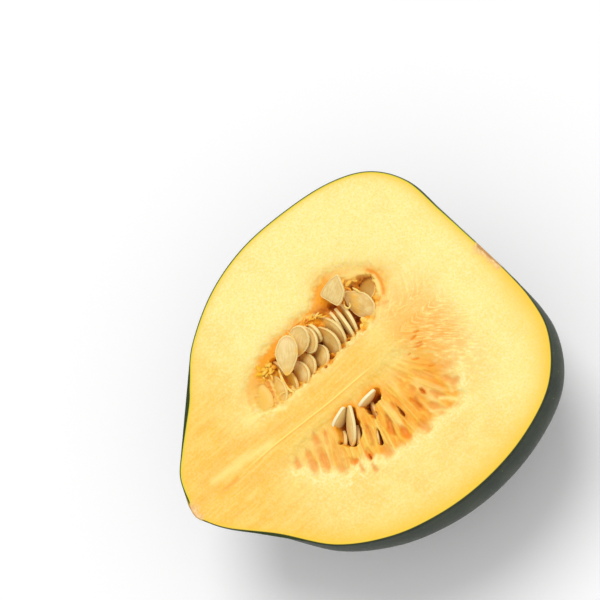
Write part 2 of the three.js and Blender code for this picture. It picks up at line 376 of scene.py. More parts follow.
# Hollows of the lower bed that seeds lie in.
LOWER_HOLLOWS = [
    [(62, -9.8), (64, -8.4), (67.5, -7.9), (70.2, -8.6), (71.4, -9.8), (71.1, -11.8),
     (70, -14), (69.4, -16.6), (67.7, -19.6), (65.2, -21.4), (63, -22.4), (60.8, -21.2),
     (58.8, -18.6), (59.2, -15.8), (60.6, -13), (61.1, -11)],
    [(73.9, -11), (75, -10.1), (77.6, -9.5), (81, -9.2), (83.2, -10.1), (82.9, -12.3),
     (81.4, -14.6), (78.4, -14.8), (76.7, -16.7), (75.4, -19.2), (74.4, -18.8), (74.5, -15.8),
     (74.4, -13.4), (73.6, -12)],
]
LOWER_HOLLOW_DEPTH = 11.0
HOLLOW_WALL = 9.0  # distance from the rim at which a hollow is at its deepest
WALL_POWER = 2.2  # higher is a steeper wall
RAGGED = 0.7  # how far a torn rim wanders in and out

# Deep orange streaks in the tissue: points on them, half width, strength.
STREAKS = [
    ([(110.1, 28.3), (111.6, 25.2), (111.3, 21.2), (110.2, 18.8), (108.7, 16.6)], 0.7, 0.9),
    ([(102.8, 15), (105, 14), (108.1, 12.8)], 0.6, 0.5),
    ([(52.5, 21.8), (51.4, 17.9), (50.4, 13.5), (49.8, 11.4)], 0.5, 0.8),
    ([(81.5, 28.1), (79.2, 29.7), (75, 30.2), (71.9, 30.4)], 0.7, 0.5),
    ([(11.2, -0.7), (20.3, -1.3)], 0.5, 0.6), ([(8, 7), (24.8, 9.6), (37, 6.3), (46, 3.6)], 2.4, 0.16),
    ([(22, -4.5), (31, -6.5), (38, -8)], 2.6, 0.14), ([(1, 2), (12, 2)], 2.6, 0.14),
    ([(103.6, -17.4), (107, -21), (109.8, -21.6)], 2.2, 0.45), ([(101, -24), (104.6, -25.6)], 2.0, 0.3),
]
# Painted shade: brown laid on the tissue in the deepest pits, slits and gaps, in the same terms.
BROWN_SHADE_STREAKS = [
    ([(84.6, 28.4), (87, 28), (90, 26.6)], 2.0, 0.9), ([(89.6, 23.2), (89.8, 22)], 1.3, 0.9),
    ([(104.2, 26.6), (103.6, 25)], 1.0, 0.9), ([(55.8, 24.8), (56.2, 22.4)], 0.7, 0.9),
    ([(79, -21.1), (78.9, -24.2), (76.8, -28.6)], 0.7, 0.6), ([(91.7, -23.2), (91.2, -26.8)], 0.8, 0.65),
    ([(71, -19.4), (69.4, -23), (67.9, -26)], 0.7, 0.55), ([(95.9, -22.2), (95.8, -24.6)], 0.6, 0.8),
    ([(83.6, -18.6), (84.5, -21), (84.2, -26.6)], 0.8, 0.5),
]
# The pale thread of the core, cut through lengthwise.
CORE_LINE = [(11, -0.7), (20.5, -1.2), (26.2, -0.6), (37.8, -0.5), (51.4, -1.3), (66, -2.2), (90, -2.6)]
# Streaks of paler tissue, in the same terms as those above.
PALE_STREAKS = [
    ([(11.5, 4.6), (19.2, 3.6), (26.6, 2.9), (32.5, 1.9), (37.5, 0.4)], 1.7, 0.75),
    ([(36, 14.4), (41.1, 12.9), (45.7, 10.9), (51, 7.7)], 0.9, 0.85),
    ([(110.1, 24.6), (109.9, 22.6), (109, 20), (107.2, 17.4)], 1.3, 0.8),
    ([(108.8, 27), (106, 30.4), (101.5, 32.6)], 1.6, 0.5),
    ([(97.4, 12), (95.8, 9.4)], 1.2, 0.7), ([(92.2, 11.8), (88.6, 11.2)], 0.9, 0.6),
    ([(104.6, 15.2), (100.4, 13.4)], 1.0, 0.6), ([(84, 10.6), (80.5, 10.8)], 0.7, 0.6),
    ([(75, 30.6), (78.2, 31.2)], 0.6, 0.6), ([(79.5, 30.4), (82.6, 28.8)], 0.6, 0.6),
    ([(63, 9.4), (58.6, 9.2), (54, 9)], 0.8, 0.6), ([(53, 21), (50.9, 15), (49.2, 9.6)], 0.9, 0.8),
    ([(61, 17), (58, 12.4), (58.6, 8.2)], 0.8, 0.7), ([(42.6, 17), (43, 12), (46, 9.6)], 0.8, 0.5),
    ([(98.6, -29.6), (101, -31.2), (103.2, -34.4)], 0.8, 0.8), ([(107.4, -30.6), (108, -33.4)], 0.9, 0.7),
    ([(104.6, -27.8), (104, -30.6)], 0.8, 0.5), ([(93, -31.4), (96.6, -33.4), (99, -37)], 0.8, 0.6),
]

# The bright torn tuft at the tip end of the upper bed.
TUFT = (54.2, 24.6)
TUFT_RADIUS = 4.0
TUFT_HEIGHT = 1.6

CORD_SEED = 47
CORD_COUNT = 190

# How orange the far bank of the upper bed is along its length.
GLOW_PLACES = (43, 50, 58, 70, 82, 90, 97, 110)
GLOW_SHARES = (0.1, 0.6, 1, 1, 0.9, 1, 0.3, 0.1)

UPPER_LOOP = smooth_loop(UPPER_RIM, 4)
FAN_LOOP = smooth_loop(LOWER_FAN)
HOLLOW_LOOPS = [smooth_loop(points) for points in LOWER_HOLLOWS]

# ---- The cut face: where its shape and its tints change ----
# A pair named for a place is a stretch over which something comes in, or goes where the name says
# END. ALONG is measured from the tip, ABOVE and BELOW from the core towards +Y and -Y, and INSIDE
# inwards from a rim, all in millimetres. FEET are places on the core that fibres start from.
# Patterns of noise, added up: size, strength, and a shift that keeps one from matching another.
TORN_PATTERN = ((1.9, 1, 0), (0.8, 0.6, 40))
GRAIN_PATTERN = ((3.1, 0.1, 0), (0.9, 0.05, 60))
CORK_PATTERN = ((1.3, 1, 0), (0.6, 0.6, 30))

HOLLOW_RAGGED = 0.4 * RAGGED
NEAR_RAGGED = 1.5  # times RAGGED on the upper bed's side towards the core
NEAR_RAGGED_END_ABOVE = (11, 16)

# A pit's outline: powers of its width from the inner and from the outer end, the most that they
# give, how far its wall reaches, and the share of its length that the outer end rises over.
PIT_INNER_POWER = 0.7
PIT_OUTER_POWER = 0.35
PIT_WIDEST = 0.58
PIT_LEAST = 1e-6  # keeps the width above 0 at the ends
PIT_WALL = 1.35
PIT_SHALLOWS = 1.6
PIT_OUTER_RISE = 0.3
PIT_WANDER = 0.35
PIT_WANDER_SIZE = 1.7
# The torn flap round a pit's outer end: the share of the pit's length that it curves round, how far
# along it reaches, its radius and width in the pit's own terms, and where along it comes in.
FLAP_MIDDLE = 0.62
FLAP_REACH = 0.42
FLAP_RADIUS = 1.25
FLAP_WIDTH = 0.2
FLAP_START = (0.55, 0.95)
FLAPS_END_INSIDE = (2, 7)
FLAP_HEIGHT = 0.5

# Cords and rays of the fan.
CORD_STARTS = (2, 24)
CORD_LENGTHS = (7, 20)
CORD_WIDTHS = (0.25, 0.9)
CORD_HEIGHTS = (0.35, 1.0)
CORD_SWAY = 0.4
CORD_SWAY_LENGTHS = (3, 6)
CORD_SWAY_STARTS = (0, 6)
CORD_TAPER = 0.7
CORDS_INSIDE = (1, 7)
STRINGY_FEET = (56, 68)
CLOUDY_FEET = (86, 95)  # from here on the fan is cloudy more than stringy
CLOUDY_CORDS = 0.25
CLOUDY_RAYS = 0.35
RAY_PATTERN = ((3.2, 3.5, 1, 80), (8, 3, 0.5, 0))  # spread over the feet, size, strength, shift
RAY_DRAW = 0.3  # below 1 draws the rays out lengthwise
RAY_EDGE = (0, 0.7)
RAYS_BELOW = (9, 18)
RAY_HEIGHT = 0.5
FURROW_SIZE = 3.5
FURROW_SHIFT = (50, 0)
FURROW_DEPTH = 0.25
FAN_DEPTH = 1.1
FAN_SHAPE_START = -0.5
FAN_TINT_START = 1.0
FAN_EDGE = 5.0  # distance over which the fan comes in from its torn edge
FEATHERED_EDGE = 16.0  # and how far inside its feathered one it is whole
FEATHERED_ALONG = (96, 112)
FEATHERED_END_BELOW = (24, 34)
# The texture runs along the fibres below the core, and along the rim round the upper bed.
FIBRE_SEAM = 4.0
SEAM_ABOVE = (2, 7)
FIBRE_SPREAD = 6.0
RIM_SPREAD = 5.0
# The raised, pale lip along the fan's outer edge.
TORN_SIZE = 1.1
TORN_SHIFT = (0, 50)
LIP_INSIDE = 0.6
LIP_WIDTH = 1.2
LIP_BELOW = (14, 22)
LIP_HEIGHTS = (0.2, 0.8)

# The upper bed.
FAR_BANK_ABOVE = (13, 22)
SLOPE_DEPTH = 0.9
SLOPE_INSIDE = (-4, 0.5)
BED_CREASE = 1.2
PULP_SOFTNESS = 0.5
PULP_POWER = 1.8
PULLED_PATTERN = ((0.35, 1.3, 1), (0.5, 0.6, 0.5))  # draw, size, strength
PULLED_HEIGHT = 0.45
PULLED_INSIDE = (-1, 1.5)
RIDGE_HEIGHT = 0.8  # of the pale streaks
GAP_WALL = (0.5, 1.2)  # in radii: full depth up to the first, none from the second on
GAP_WANDER = 0.25
GAP_WANDER_SIZE = 0.9
TUFT_SQUEEZE = 1.1
TUFT_EDGE = (0.55, 1.1)  # in the same way
TUFT_WANDER = 0.5
TUFT_WANDER_SIZE = 1.6
CRUMPLE_EDGE = (0.3, 1.3)
CRUMPLE_SIZES = (2.1, 1.3)
CRUMPLE_SHIFTS = ((20, 0), (0, 30))
CRUMPLE_FINE = 0.6

FACE_SUNK = 0.1  # below the cut edge of the rind
FLAT_BESIDE_RIND = (0.2, 3)

# Warm flesh: at the tip, along the core and low on the -Y side.
WARM_TIP_END_ALONG = (14, 62)
WARM_CORE_WIDTH = 15
WARM_CORE_FADE = 0.35
WARM_CORE_FADE_ALONG = (88, 98)
WARM_CORE_END_ALONG = (104, 132)
WARM_LOWER = 0.42
WARM_LOWER_BELOW = (24, 34)
WARM_LOWER_END_ALONG = (96, 128)
# The golden band beside the rind.
GOLD_WIDTH = 1.5
GOLD_LOWER_WIDTH = 4.2
GOLD_LOWER_BELOW = (-6, 22)
GOLD_LOWER_ALONG = (12, 50)
GOLD_STEM_WIDTH = 1.6
GOLD_STEM_ALONG = (128, 142)
GOLD_POWER = 1.4
# Flesh stained orange round the upper bed and the hollows. TIP is the share left at the tip end,
# NEAR and TOP are the shares lost beside the core and at the far side's stem end.
STAIN_REACH = 0.8
STAIN_FAR_REACH = 2.2
STAIN_FAR_ABOVE = (14, 24)
STAIN_STEM_REACHES = (0.5, 1.3)
STAIN_STEM_ALONG = (84, 90)
STAIN_TIP = 0.55
STAIN_ALONG = (46, 56)
STAIN_NEAR = 0.5
STAIN_NEAR_END_ABOVE = (10, 16)
STAIN_NEAR_END_INSIDE = (0.8, 2.6)
STAIN_TOP = 0.55
STAIN_TOP_ALONG = (92, 99)
STAIN_TOP_ABOVE = (26, 33)
STAIN_HOLLOW_REACH = 1.9
FAN_TINTS = (0.1, 0.95)
FAN_TINT_BELOW = (5, 17)
FAN_TIP_TINT = 0.7
FAN_TIP_ALONG = (52, 70)
# Bright orange on the far bank of the upper bed and round the hollows.
GLOW_INSIDE = (-1.6, 1.6)
GLOW_END_INSIDE = (4, 6.5)
GLOW_ABOVE = (14, 21)
HALO = 0.95
HALO_INSIDE = (-2.2, 0.2)
HALO_ABOVE = (-16, -9)
# Depths over which tissue is painted darker as shade, and how far inside a hollow's rim that starts.
DEEP_SHADE_DEPTHS = (3, 6)
DARK_SHADE_DEPTHS = (5, 8)
OPEN_WALL_INSIDE = (0.2, 1.1)
# Pale torn rims of the fan and of the upper bed's side towards the core.
RIM_INSIDE = 1.6
RIM_WIDTH = 2.2
RIM_LEAST = 0.35
RIM_BELOW = (8, 16)
NEAR_RIM = 0.8
NEAR_RIM_INSIDE = 0.2
NEAR_RIM_WIDTH = 1.0
NEAR_RIM_END_ABOVE = (13, 19)
NEAR_RIM_SIZE = 1.3
# The feathery flesh between the beds and the stem.
FEATHER_ALONG = (96, 106)
FEATHER_END_ALONG = (116, 132)
FEATHER_MIDDLE = -7
FEATHER_WIDTH = 21
CORE_THREAD_ALONG = (18, 40)
CORE_THREAD_END_ALONG = (80, 91)
CORE_SIDE_REACH = 3
CORD_TINT = 1.6
STREAK_WANDER = 0.3
STREAK_WANDER_SIZE = 1.1
# Cut cork at both ends of the core.
SCAR_WANDER = 0.5
SCAR_WANDER_SIZE = 1.1
SCAR_SIDE = (-0.6, 0.5)
SCAR_BACK = (-0.7, 0.4)

rough = ValueNoise(11)
lumps = ValueNoise(12)
threads = ValueNoise(13)


def bell(value, middle, width):
    """1 where value is at middle, falling to nothing on both sides of it."""
    return np.exp(-(((value - middle) / width) ** 2))


def bowl_depth(inside, wall):
    """Share of full depth at a distance inside a rim: a steep wall that eases into the floor."""
    reach = 1 - np.clip(inside / wall, 0, 1)
    return np.sqrt(1 - reach**WALL_POWER)


def ragged(points, amount):
    """Wandering of a torn edge, in millimetres."""
    return amount * rough.pattern(points[:, 0], points[:, 1], TORN_PATTERN)


def pit_share(points, rows):
    """The depth in millimetres of pits or slits, the share of their look and that of their flaps."""
    depth = np.zeros(len(points))
    share = np.zeros(len(points))
    flap = np.zeros(len(points))
    wander = PIT_WANDER * rough.centred(points[:, 0], points[:, 1], PIT_WANDER_SIZE)
    for x0, y0, x1, y1, half_width, deepest in rows:
        start, ahead = np.array([x0, y0]), np.array([x1 - x0, y1 - y0])
        length = np.linalg.norm(ahead)
        ahead = ahead / length
        reach = (points - start) @ ahead / length
        across = np.abs((points - start) @ np.array([-ahead[1], ahead[0]])) / half_width
        along = np.clip(reach, 0, 1)
        width = along**PIT_INNER_POWER * (1 - along) ** PIT_OUTER_POWER / PIT_WIDEST + PIT_LEAST
        section = fade_out(across / width + wander, 0, PIT_WALL) * np.minimum(1, PIT_SHALLOWS * width)
        section = section * smoothstep(1 - reach, 0, PIT_OUTER_RISE) * (reach > 0)
        depth = np.maximum(depth, deepest * section)
        share = np.maximum(share, section)
        ring = np.hypot((reach - FLAP_MIDDLE) / FLAP_REACH, across) + wander
        flap = np.maximum(flap, bell(ring, FLAP_RADIUS, FLAP_WIDTH) * smoothstep(reach, *FLAP_START))
    return depth, share, flap * (1 - share)


def soft_minimum(first, second, rounding):
    """The lesser of two surfaces, with the crease between them rounded."""
    return (first + second - np.sqrt((first - second) ** 2 + rounding**2)) / 2


def pulp_depth(x, y):
    """Depth of the pulp between the upper seeds, blended from the places where it is given."""
    total, share = 0, 0
    for pulp_x, pulp_y, depth in UPPER_PULP:
        weight = 1 / ((x - pulp_x) ** 2 + (y - pulp_y) ** 2 + PULP_SOFTNESS) ** PULP_POWER
        total = total + weight * depth
        share = share + weight
    return total / share


def cords(foot, out):
    """Height in millimetres of the long soft fibres that stand over the floor of the fan."""
    rng = np.random.default_rng(CORD_SEED)
    height = np.zeros(len(foot))
    spread = 1 + np.maximum(out, 0) * np.interp(foot, FIBRE_FEET, np.gradient(FIBRE_LEANS, FIBRE_FEET))
    for _ in range(CORD_COUNT):
        place = rng.uniform(FIBRE_FEET[0], FIBRE_FEET[-1])
        start, length = rng.uniform(*CORD_STARTS), rng.uniform(*CORD_LENGTHS)
        width, rise = rng.uniform(*CORD_WIDTHS), rng.uniform(*CORD_HEIGHTS)
        share = np.clip((out - start) / length, 0, 1)
        sway = CORD_SWAY * np.sin(out / rng.uniform(*CORD_SWAY_LENGTHS) + rng.uniform(*CORD_SWAY_STARTS))
        section = bell((foot - place) * spread - sway, 0, width)
        height = np.maximum(height, rise * section * np.sin(np.pi * share) ** CORD_TAPER)
    return height


def streaks(points, rows):
    """How strongly any of some soft streaks shows at each point."""
    wander = STREAK_WANDER * threads.centred(points[:, 0], points[:, 1], STREAK_WANDER_SIZE)
    share = np.zeros(len(points))
    for line, half_width, strength in rows:
        away = np.maximum(distance_to_line(points, line) / half_width + wander, 0)
        share = np.maximum(share, strength * bell(away, 0, 1))
    return share


def spots(x, y, rows):
    """How strongly any of some soft round spots shows at each place."""
    share = np.zeros(len(x))
    for spot_x, spot_y, radius, strength in rows:
        share = np.maximum(share, strength * bell(np.hypot(x - spot_x, y - spot_y), 0, radius))
    return share


class Face:
    """The cut face's surface and what its material needs to know at each point."""

    def __init__(self, points, rind_depth):
        self.points = points
        self.rind_depth = rind_depth
        self.x, self.y = points.T
        x, y = self.x, self.y
        near = lerp(NEAR_RAGGED, 1, smoothstep(y, *NEAR_RAGGED_END_ABOVE))
        self.upper = depth_inside(points, UPPER_LOOP) + ragged(points, RAGGED) * near
        self.fan = depth_inside(points, FAN_LOOP) + ragged(points, RAGGED)
        hollow = np.max([depth_inside(points, loop) for loop in HOLLOW_LOOPS], axis=0)
        self.hollow = hollow + ragged(points, HOLLOW_RAGGED)
        self.pit_depth, self.pit, flap = pit_share(points, PITS)
        self.flap = flap * fade_out(self.fan, *FLAPS_END_INSIDE)
        self.slit_depth = pit_share(points, SLITS)[0]
        self.tear_depth, self.tear, _ = pit_share(points, TEARS)
        self.pale = streaks(points, PALE_STREAKS)
        self.torn = rough.at(x, y, TORN_SIZE, TORN_SHIFT)
        # The fan runs out in feathers at its stem end, instead of in a torn edge.
        self.feathered = smoothstep(x, *FEATHERED_ALONG) * fade_out(-y, *FEATHERED_END_BELOW)
        self.lay_fibres(fibre_foot(x, y))
        mound = np.hypot(x - TUFT[0], TUFT_SQUEEZE * (y - TUFT[1])) / TUFT_RADIUS
        self.tuft = fade_out(mound + TUFT_WANDER * rough.centred(x, y, TUFT_WANDER_SIZE), *TUFT_EDGE)
        self.depth = self.depths()

    def lay_fibres(self, foot):
        """Cords, rays and furrows of the fan, and the directions that the texture runs in."""
        y = self.y
        cloudy = smoothstep(foot, *CLOUDY_FEET)
        stringy = smoothstep(foot, *STRINGY_FEET) * lerp(1, CLOUDY_CORDS, cloudy)
        self.cords = cords(foot, -y) * stringy * smoothstep(self.fan, *CORDS_INSIDE)
        ray = sum(
            strength * threads.centred(spread * foot, -RAY_DRAW * y, size, (shift, 0))
            for spread, size, strength, shift in RAY_PATTERN
        )
        ray = smoothstep(ray, *RAY_EDGE) * smoothstep(-y, *RAYS_BELOW)
        self.ray = ray * lerp(1, CLOUDY_RAYS, cloudy)
        above = smoothstep(y, *SEAM_ABOVE)
        beside = RIM_SPREAD * self.upper * above
        self.across = np.where(y < FIBRE_SEAM, FIBRE_SPREAD * foot * (1 - above), beside)
        self.along = np.hypot(self.x - foot, y) * (1 - above) + self.x * above
        self.furrow = threads.at(self.across, self.along, FURROW_SIZE, FURROW_SHIFT)

    def fan_share(self, start):
        """Share of the fan: it comes in at once at its outer edge, slowly at the stem end."""
        return smoothstep(self.fan, start, lerp(start + FAN_EDGE, FEATHERED_EDGE, self.feathered))

    def fan_depth(self):
        """The fan's floor with its fibres and pits, and the lip and flaps round it."""
        lip = bell(self.fan, LIP_INSIDE, LIP_WIDTH) * smoothstep(-self.y, *LIP_BELOW)
        lip = lip * (1 - self.feathered) * lerp(*LIP_HEIGHTS, self.torn)
        fibres = FURROW_DEPTH * self.furrow - self.cords - RAY_HEIGHT * self.ray
        fan = self.fan_share(FAN_SHAPE_START) * (FAN_DEPTH + fibres)
        fan = fan + self.tear_depth - lip - FLAP_HEIGHT * self.flap
        return np.maximum(fan + self.pit_depth, self.slit_depth)

    def bed_depth(self, far):
        """The upper bed: its banks, the pulp between the seeds, pale ridges and torn gaps."""
        x, y = self.x, self.y
        near_bank = np.interp(self.upper, BED_INSIDE, NEAR_BANK)
        far_bank = np.interp(self.upper, BED_INSIDE, FAR_BANK)
        bed = soft_minimum(lerp(near_bank, far_bank, far), pulp_depth(x, y), BED_CREASE)
        pulled = sum(
            strength * threads.centred(x + y, draw * y, size) for draw, size, strength in PULLED_PATTERN
        )
        bed = bed - RIDGE_HEIGHT * self.pale
        bed = bed + PULLED_HEIGHT * pulled * smoothstep(self.upper, *PULLED_INSIDE)
        wander = GAP_WANDER * threads.centred(x, y, GAP_WANDER_SIZE)
        for gap_x, gap_y, radius, gap_depth in GAPS:
            reach = np.hypot(x - gap_x, y - gap_y) / radius + wander
            bed = np.maximum(bed, gap_depth * fade_out(reach, *GAP_WALL))
        return bed

    def depths(self):
        """How far the surface lies below the plane of the cut, in millimetres."""
        x, y = self.x, self.y
        far = smoothstep(y, *FAR_BANK_ABOVE)
        slope = SLOPE_DEPTH * smoothstep(self.upper, *SLOPE_INSIDE) * far
        hollow = LOWER_HOLLOW_DEPTH * bowl_depth(self.hollow, HOLLOW_WALL)
        depth = np.maximum(self.fan_depth(), hollow)
        depth = np.maximum(depth + slope, self.bed_depth(far))
        crumple = rough.at(x, y, CRUMPLE_SIZES[0], CRUMPLE_SHIFTS[0])
        crumple = crumple + CRUMPLE_FINE * threads.at(x, y, CRUMPLE_SIZES[1], CRUMPLE_SHIFTS[1])
        depth = depth - TUFT_HEIGHT * self.tuft * smoothstep(crumple, *CRUMPLE_EDGE)
        grain = lumps.pattern(x, y, GRAIN_PATTERN)
        return (depth + FACE_SUNK + grain) * smoothstep(self.rind_depth, *FLAT_BESIDE_RIND)

    def warm(self):
        tip = fade_out(self.x, *WARM_TIP_END_ALONG)
        core = bell(self.y, 0, WARM_CORE_WIDTH) * fade_out(self.x, *WARM_CORE_END_ALONG)
        core = core * (1 - WARM_CORE_FADE * smoothstep(self.x, *WARM_CORE_FADE_ALONG))
        lower = smoothstep(-self.y, *WARM_LOWER_BELOW) * fade_out(self.x, *WARM_LOWER_END_ALONG)
        return np.clip(np.maximum(np.maximum(tip, core), WARM_LOWER * lower), 0, 1)

    def gold(self):
        lower = smoothstep(-self.y, *GOLD_LOWER_BELOW) * smoothstep(self.x, *GOLD_LOWER_ALONG)
        stem = smoothstep(self.x, *GOLD_STEM_ALONG)
        width = GOLD_WIDTH + GOLD_LOWER_WIDTH * lower + GOLD_STEM_WIDTH * stem
        return np.exp(-((self.rind_depth / width) ** GOLD_POWER))

    def orange(self, in_fan):
        x, y = self.x, self.y
        farther = lerp(*STAIN_STEM_REACHES, smoothstep(x, *STAIN_STEM_ALONG))
        reach = STAIN_REACH + STAIN_FAR_REACH * farther * smoothstep(y, *STAIN_FAR_ABOVE)
        upper = np.exp(-np.maximum(-self.upper, 0) / reach) * lerp(STAIN_TIP, 1, smoothstep(x, *STAIN_ALONG))
        near = fade_out(y, *STAIN_NEAR_END_ABOVE) * fade_out(self.upper, *STAIN_NEAR_END_INSIDE)
        top = smoothstep(x, *STAIN_TOP_ALONG) * smoothstep(y, *STAIN_TOP_ABOVE)
        upper = upper * (1 - STAIN_NEAR * near) * (1 - STAIN_TOP * top)
        hollow = np.exp(-np.maximum(-self.hollow, 0) / STAIN_HOLLOW_REACH)
        fan = in_fan * lerp(*FAN_TINTS, smoothstep(-y, *FAN_TINT_BELOW))
        fan = fan * lerp(FAN_TIP_TINT, 1, smoothstep(x, *FAN_TIP_ALONG))
        return np.maximum(fan, np.maximum(upper, hollow))

    def glow(self):
        bank = smoothstep(self.upper, *GLOW_INSIDE) * fade_out(self.upper, *GLOW_END_INSIDE)
        bank = bank * smoothstep(self.y, *GLOW_ABOVE) * np.interp(self.x, GLOW_PLACES, GLOW_SHARES)
        halo = smoothstep(self.hollow, *HALO_INSIDE) * smoothstep(self.y, *HALO_ABOVE)
        return np.maximum(bank, HALO * halo)

    def rim(self):
        fan = bell(self.fan, RIM_INSIDE, RIM_WIDTH) * lerp(RIM_LEAST, 1, self.torn)
        fan = fan * smoothstep(-self.y, *RIM_BELOW) * (1 - self.pit) * (1 - self.feathered)
        near = bell(self.upper, NEAR_RIM_INSIDE, NEAR_RIM_WIDTH) * fade_out(self.y, *NEAR_RIM_END_ABOVE)
        near = NEAR_RIM * near * rough.at(self.x, self.y, NEAR_RIM_SIZE, TORN_SHIFT)
        return np.maximum(np.maximum(fan, near), self.flap)

    def weights(self):
        """Shares of each tint, 0 to 1, and the other values that the flesh's material mixes by."""
        x, y = self.x, self.y
        in_fan = self.fan_share(FAN_TINT_START)
        open_wall = np.where(self.hollow > 0, smoothstep(self.hollow, *OPEN_WALL_INSIDE), 1)
        line_x, line_y = np.array(CORE_LINE).T
        feather = smoothstep(x, *FEATHER_ALONG) * fade_out(x, *FEATHER_END_ALONG)
        threaded = smoothstep(x, *CORE_THREAD_ALONG) * fade_out(x, *CORE_THREAD_END_ALONG)
        embers = np.maximum(spots(x, y, EMBERS), streaks(self.points, STREAKS))
        return {
            "warm": self.warm(),
            "gold": self.gold(),
            "orange": self.orange(in_fan),
            # deep and dark: painted shade, tissue darkened with its depth below the cut except on a hollow's
            # open wall
            "deep": smoothstep(self.depth, *DEEP_SHADE_DEPTHS) * open_wall,
            "dark": smoothstep(self.depth, *DARK_SHADE_DEPTHS) * open_wall,
            "glow": self.glow(),
            "pit": self.pit,
            "ember": np.maximum(self.tear, embers),
            "cord": np.clip(CORD_TINT * self.cords, 0, 1) * in_fan,
            "ray": self.ray,
            "furrow": in_fan * self.furrow,
            # browned on the flesh is painted shade in its deepest pits, slits and gaps
            "browned": streaks(self.points, BROWN_SHADE_STREAKS),
            "pale": self.pale,
            "core_side": np.clip(y - np.interp(x, line_x, line_y), -CORE_SIDE_REACH, CORE_SIDE_REACH),
            "threaded": threaded,
            "tuft": self.tuft,
            "rim": self.rim(),
            "feather": feather * bell(y, FEATHER_MIDDLE, FEATHER_WIDTH),
            "scar": self.scar(),
            "across": self.across,
            "along": self.along,
            "rind_depth": self.rind_depth,
        }

    def scar(self):
        """The corky tissue cut through at both ends of the core."""
        at_stem = self.x > LENGTH / 2
        radius = np.where(at_stem, STEM_SCAR_RADIUS, BLOSSOM_SCAR_RADIUS)
        thick = np.where(at_stem, STEM_SCAR_DEPTH, BLOSSOM_SCAR_DEPTH)
        wander = SCAR_WANDER * rough.centred(self.x, self.y, SCAR_WANDER_SIZE)
        beside = fade_out(np.abs(self.y) + wander, radius + SCAR_SIDE[0], radius + SCAR_SIDE[1])
        return beside * fade_out(self.rind_depth + wander, thick + SCAR_BACK[0], thick + SCAR_BACK[1])


# ---- Meshes ----
def cut_edge(grid):
    """Closed loop round the cut face, anticlockwise, with each point's place in the grid."""
    right = [(i, 0) for i in range(LENGTH_STEPS + 1)]
    left = [(i, TURN_STEPS) for i in range(LENGTH_STEPS - 1, 0, -1)]
    places = right + left
    return np.array([grid[i, j, :2] for i, j in places]), places


def hexagonal(low, high, spacing):
    """Points of a hexagonal grid between two corners."""
    row_gap = spacing * math.sqrt(3) / 2
    rows = np.arange(low[1], high[1], row_gap)
    columns = np.arange(low[0], high[0], spacing)
    x, y = np.meshgrid(columns, rows)
    x = x + (np.arange(len(rows)) % 2)[:, None] * spacing / 2
    return np.stack([x.ravel(), y.ravel()], axis=1)


def face_points(edge):
    """Points of the cut face inside its edge: rings along the rind, then a graded grid."""
    ahead = np.roll(edge, -1, axis=0) - np.roll(edge, 1, axis=0)
    inward = np.stack([-ahead[:, 1], ahead[:, 0]], axis=1)
    inward /= np.linalg.norm(inward, axis=1, keepdims=True)
    kept = []
    for ring, step in EDGE_RINGS:
        points = (edge + ring * inward)[::step]
        kept.append(points[depth_inside(points, edge) > RING_CLEARANCE * ring])
    margin = EDGE_RINGS[-1][0] + COARSE_CLEARANCE * COARSE_SPACING
    low, high = edge.min(axis=0), edge.max(axis=0)
    coarse = hexagonal(low, high, COARSE_SPACING)
    coarse = coarse[depth_inside(coarse, edge) > margin]
    fine = hexagonal(low, high, FINE_SPACING)
    beds = np.concatenate([UPPER_LOOP, FAN_LOOP])
    around = (fine > beds.min(axis=0) - BESIDE_UPPER) & (fine < beds.max(axis=0) + BESIDE_UPPER)
    fine = fine[around.all(axis=1)]
    fine = fine[in_fine_zone(fine, 0)]
    coarse = coarse[~in_fine_zone(coarse, COARSE_SPACING / 2)]
    return np.concatenate(kept + [coarse, fine])


def in_fine_zone(points, margin):
    """Which points lie in or beside the seed beds, where the face is fine."""
    upper = depth_inside(points, UPPER_LOOP) > -BESIDE_UPPER - margin
    lower = depth_inside(points, FAN_LOOP) > -BESIDE_FAN - margin
    return upper | lower


def add_mesh(name, vertices, faces, materials, smooth=True):
    mesh = bpy.data.meshes.new(name)
    mesh.from_pydata([tuple(v) for v in vertices], [], faces)
    mesh.validate()
    for material in materials:
        mesh.materials.append(material)
    mesh.polygons.foreach_set("use_smooth", [smooth] * len(mesh.polygons))
    piece = bpy.data.objects.new(name, mesh)
    bpy.context.scene.collection.objects.link(piece)
    return piece


def set_attribute(mesh, name, values):
    mesh.attributes.new(name, "FLOAT", "POINT").data.foreach_set("value", np.asarray(values, np.float32))


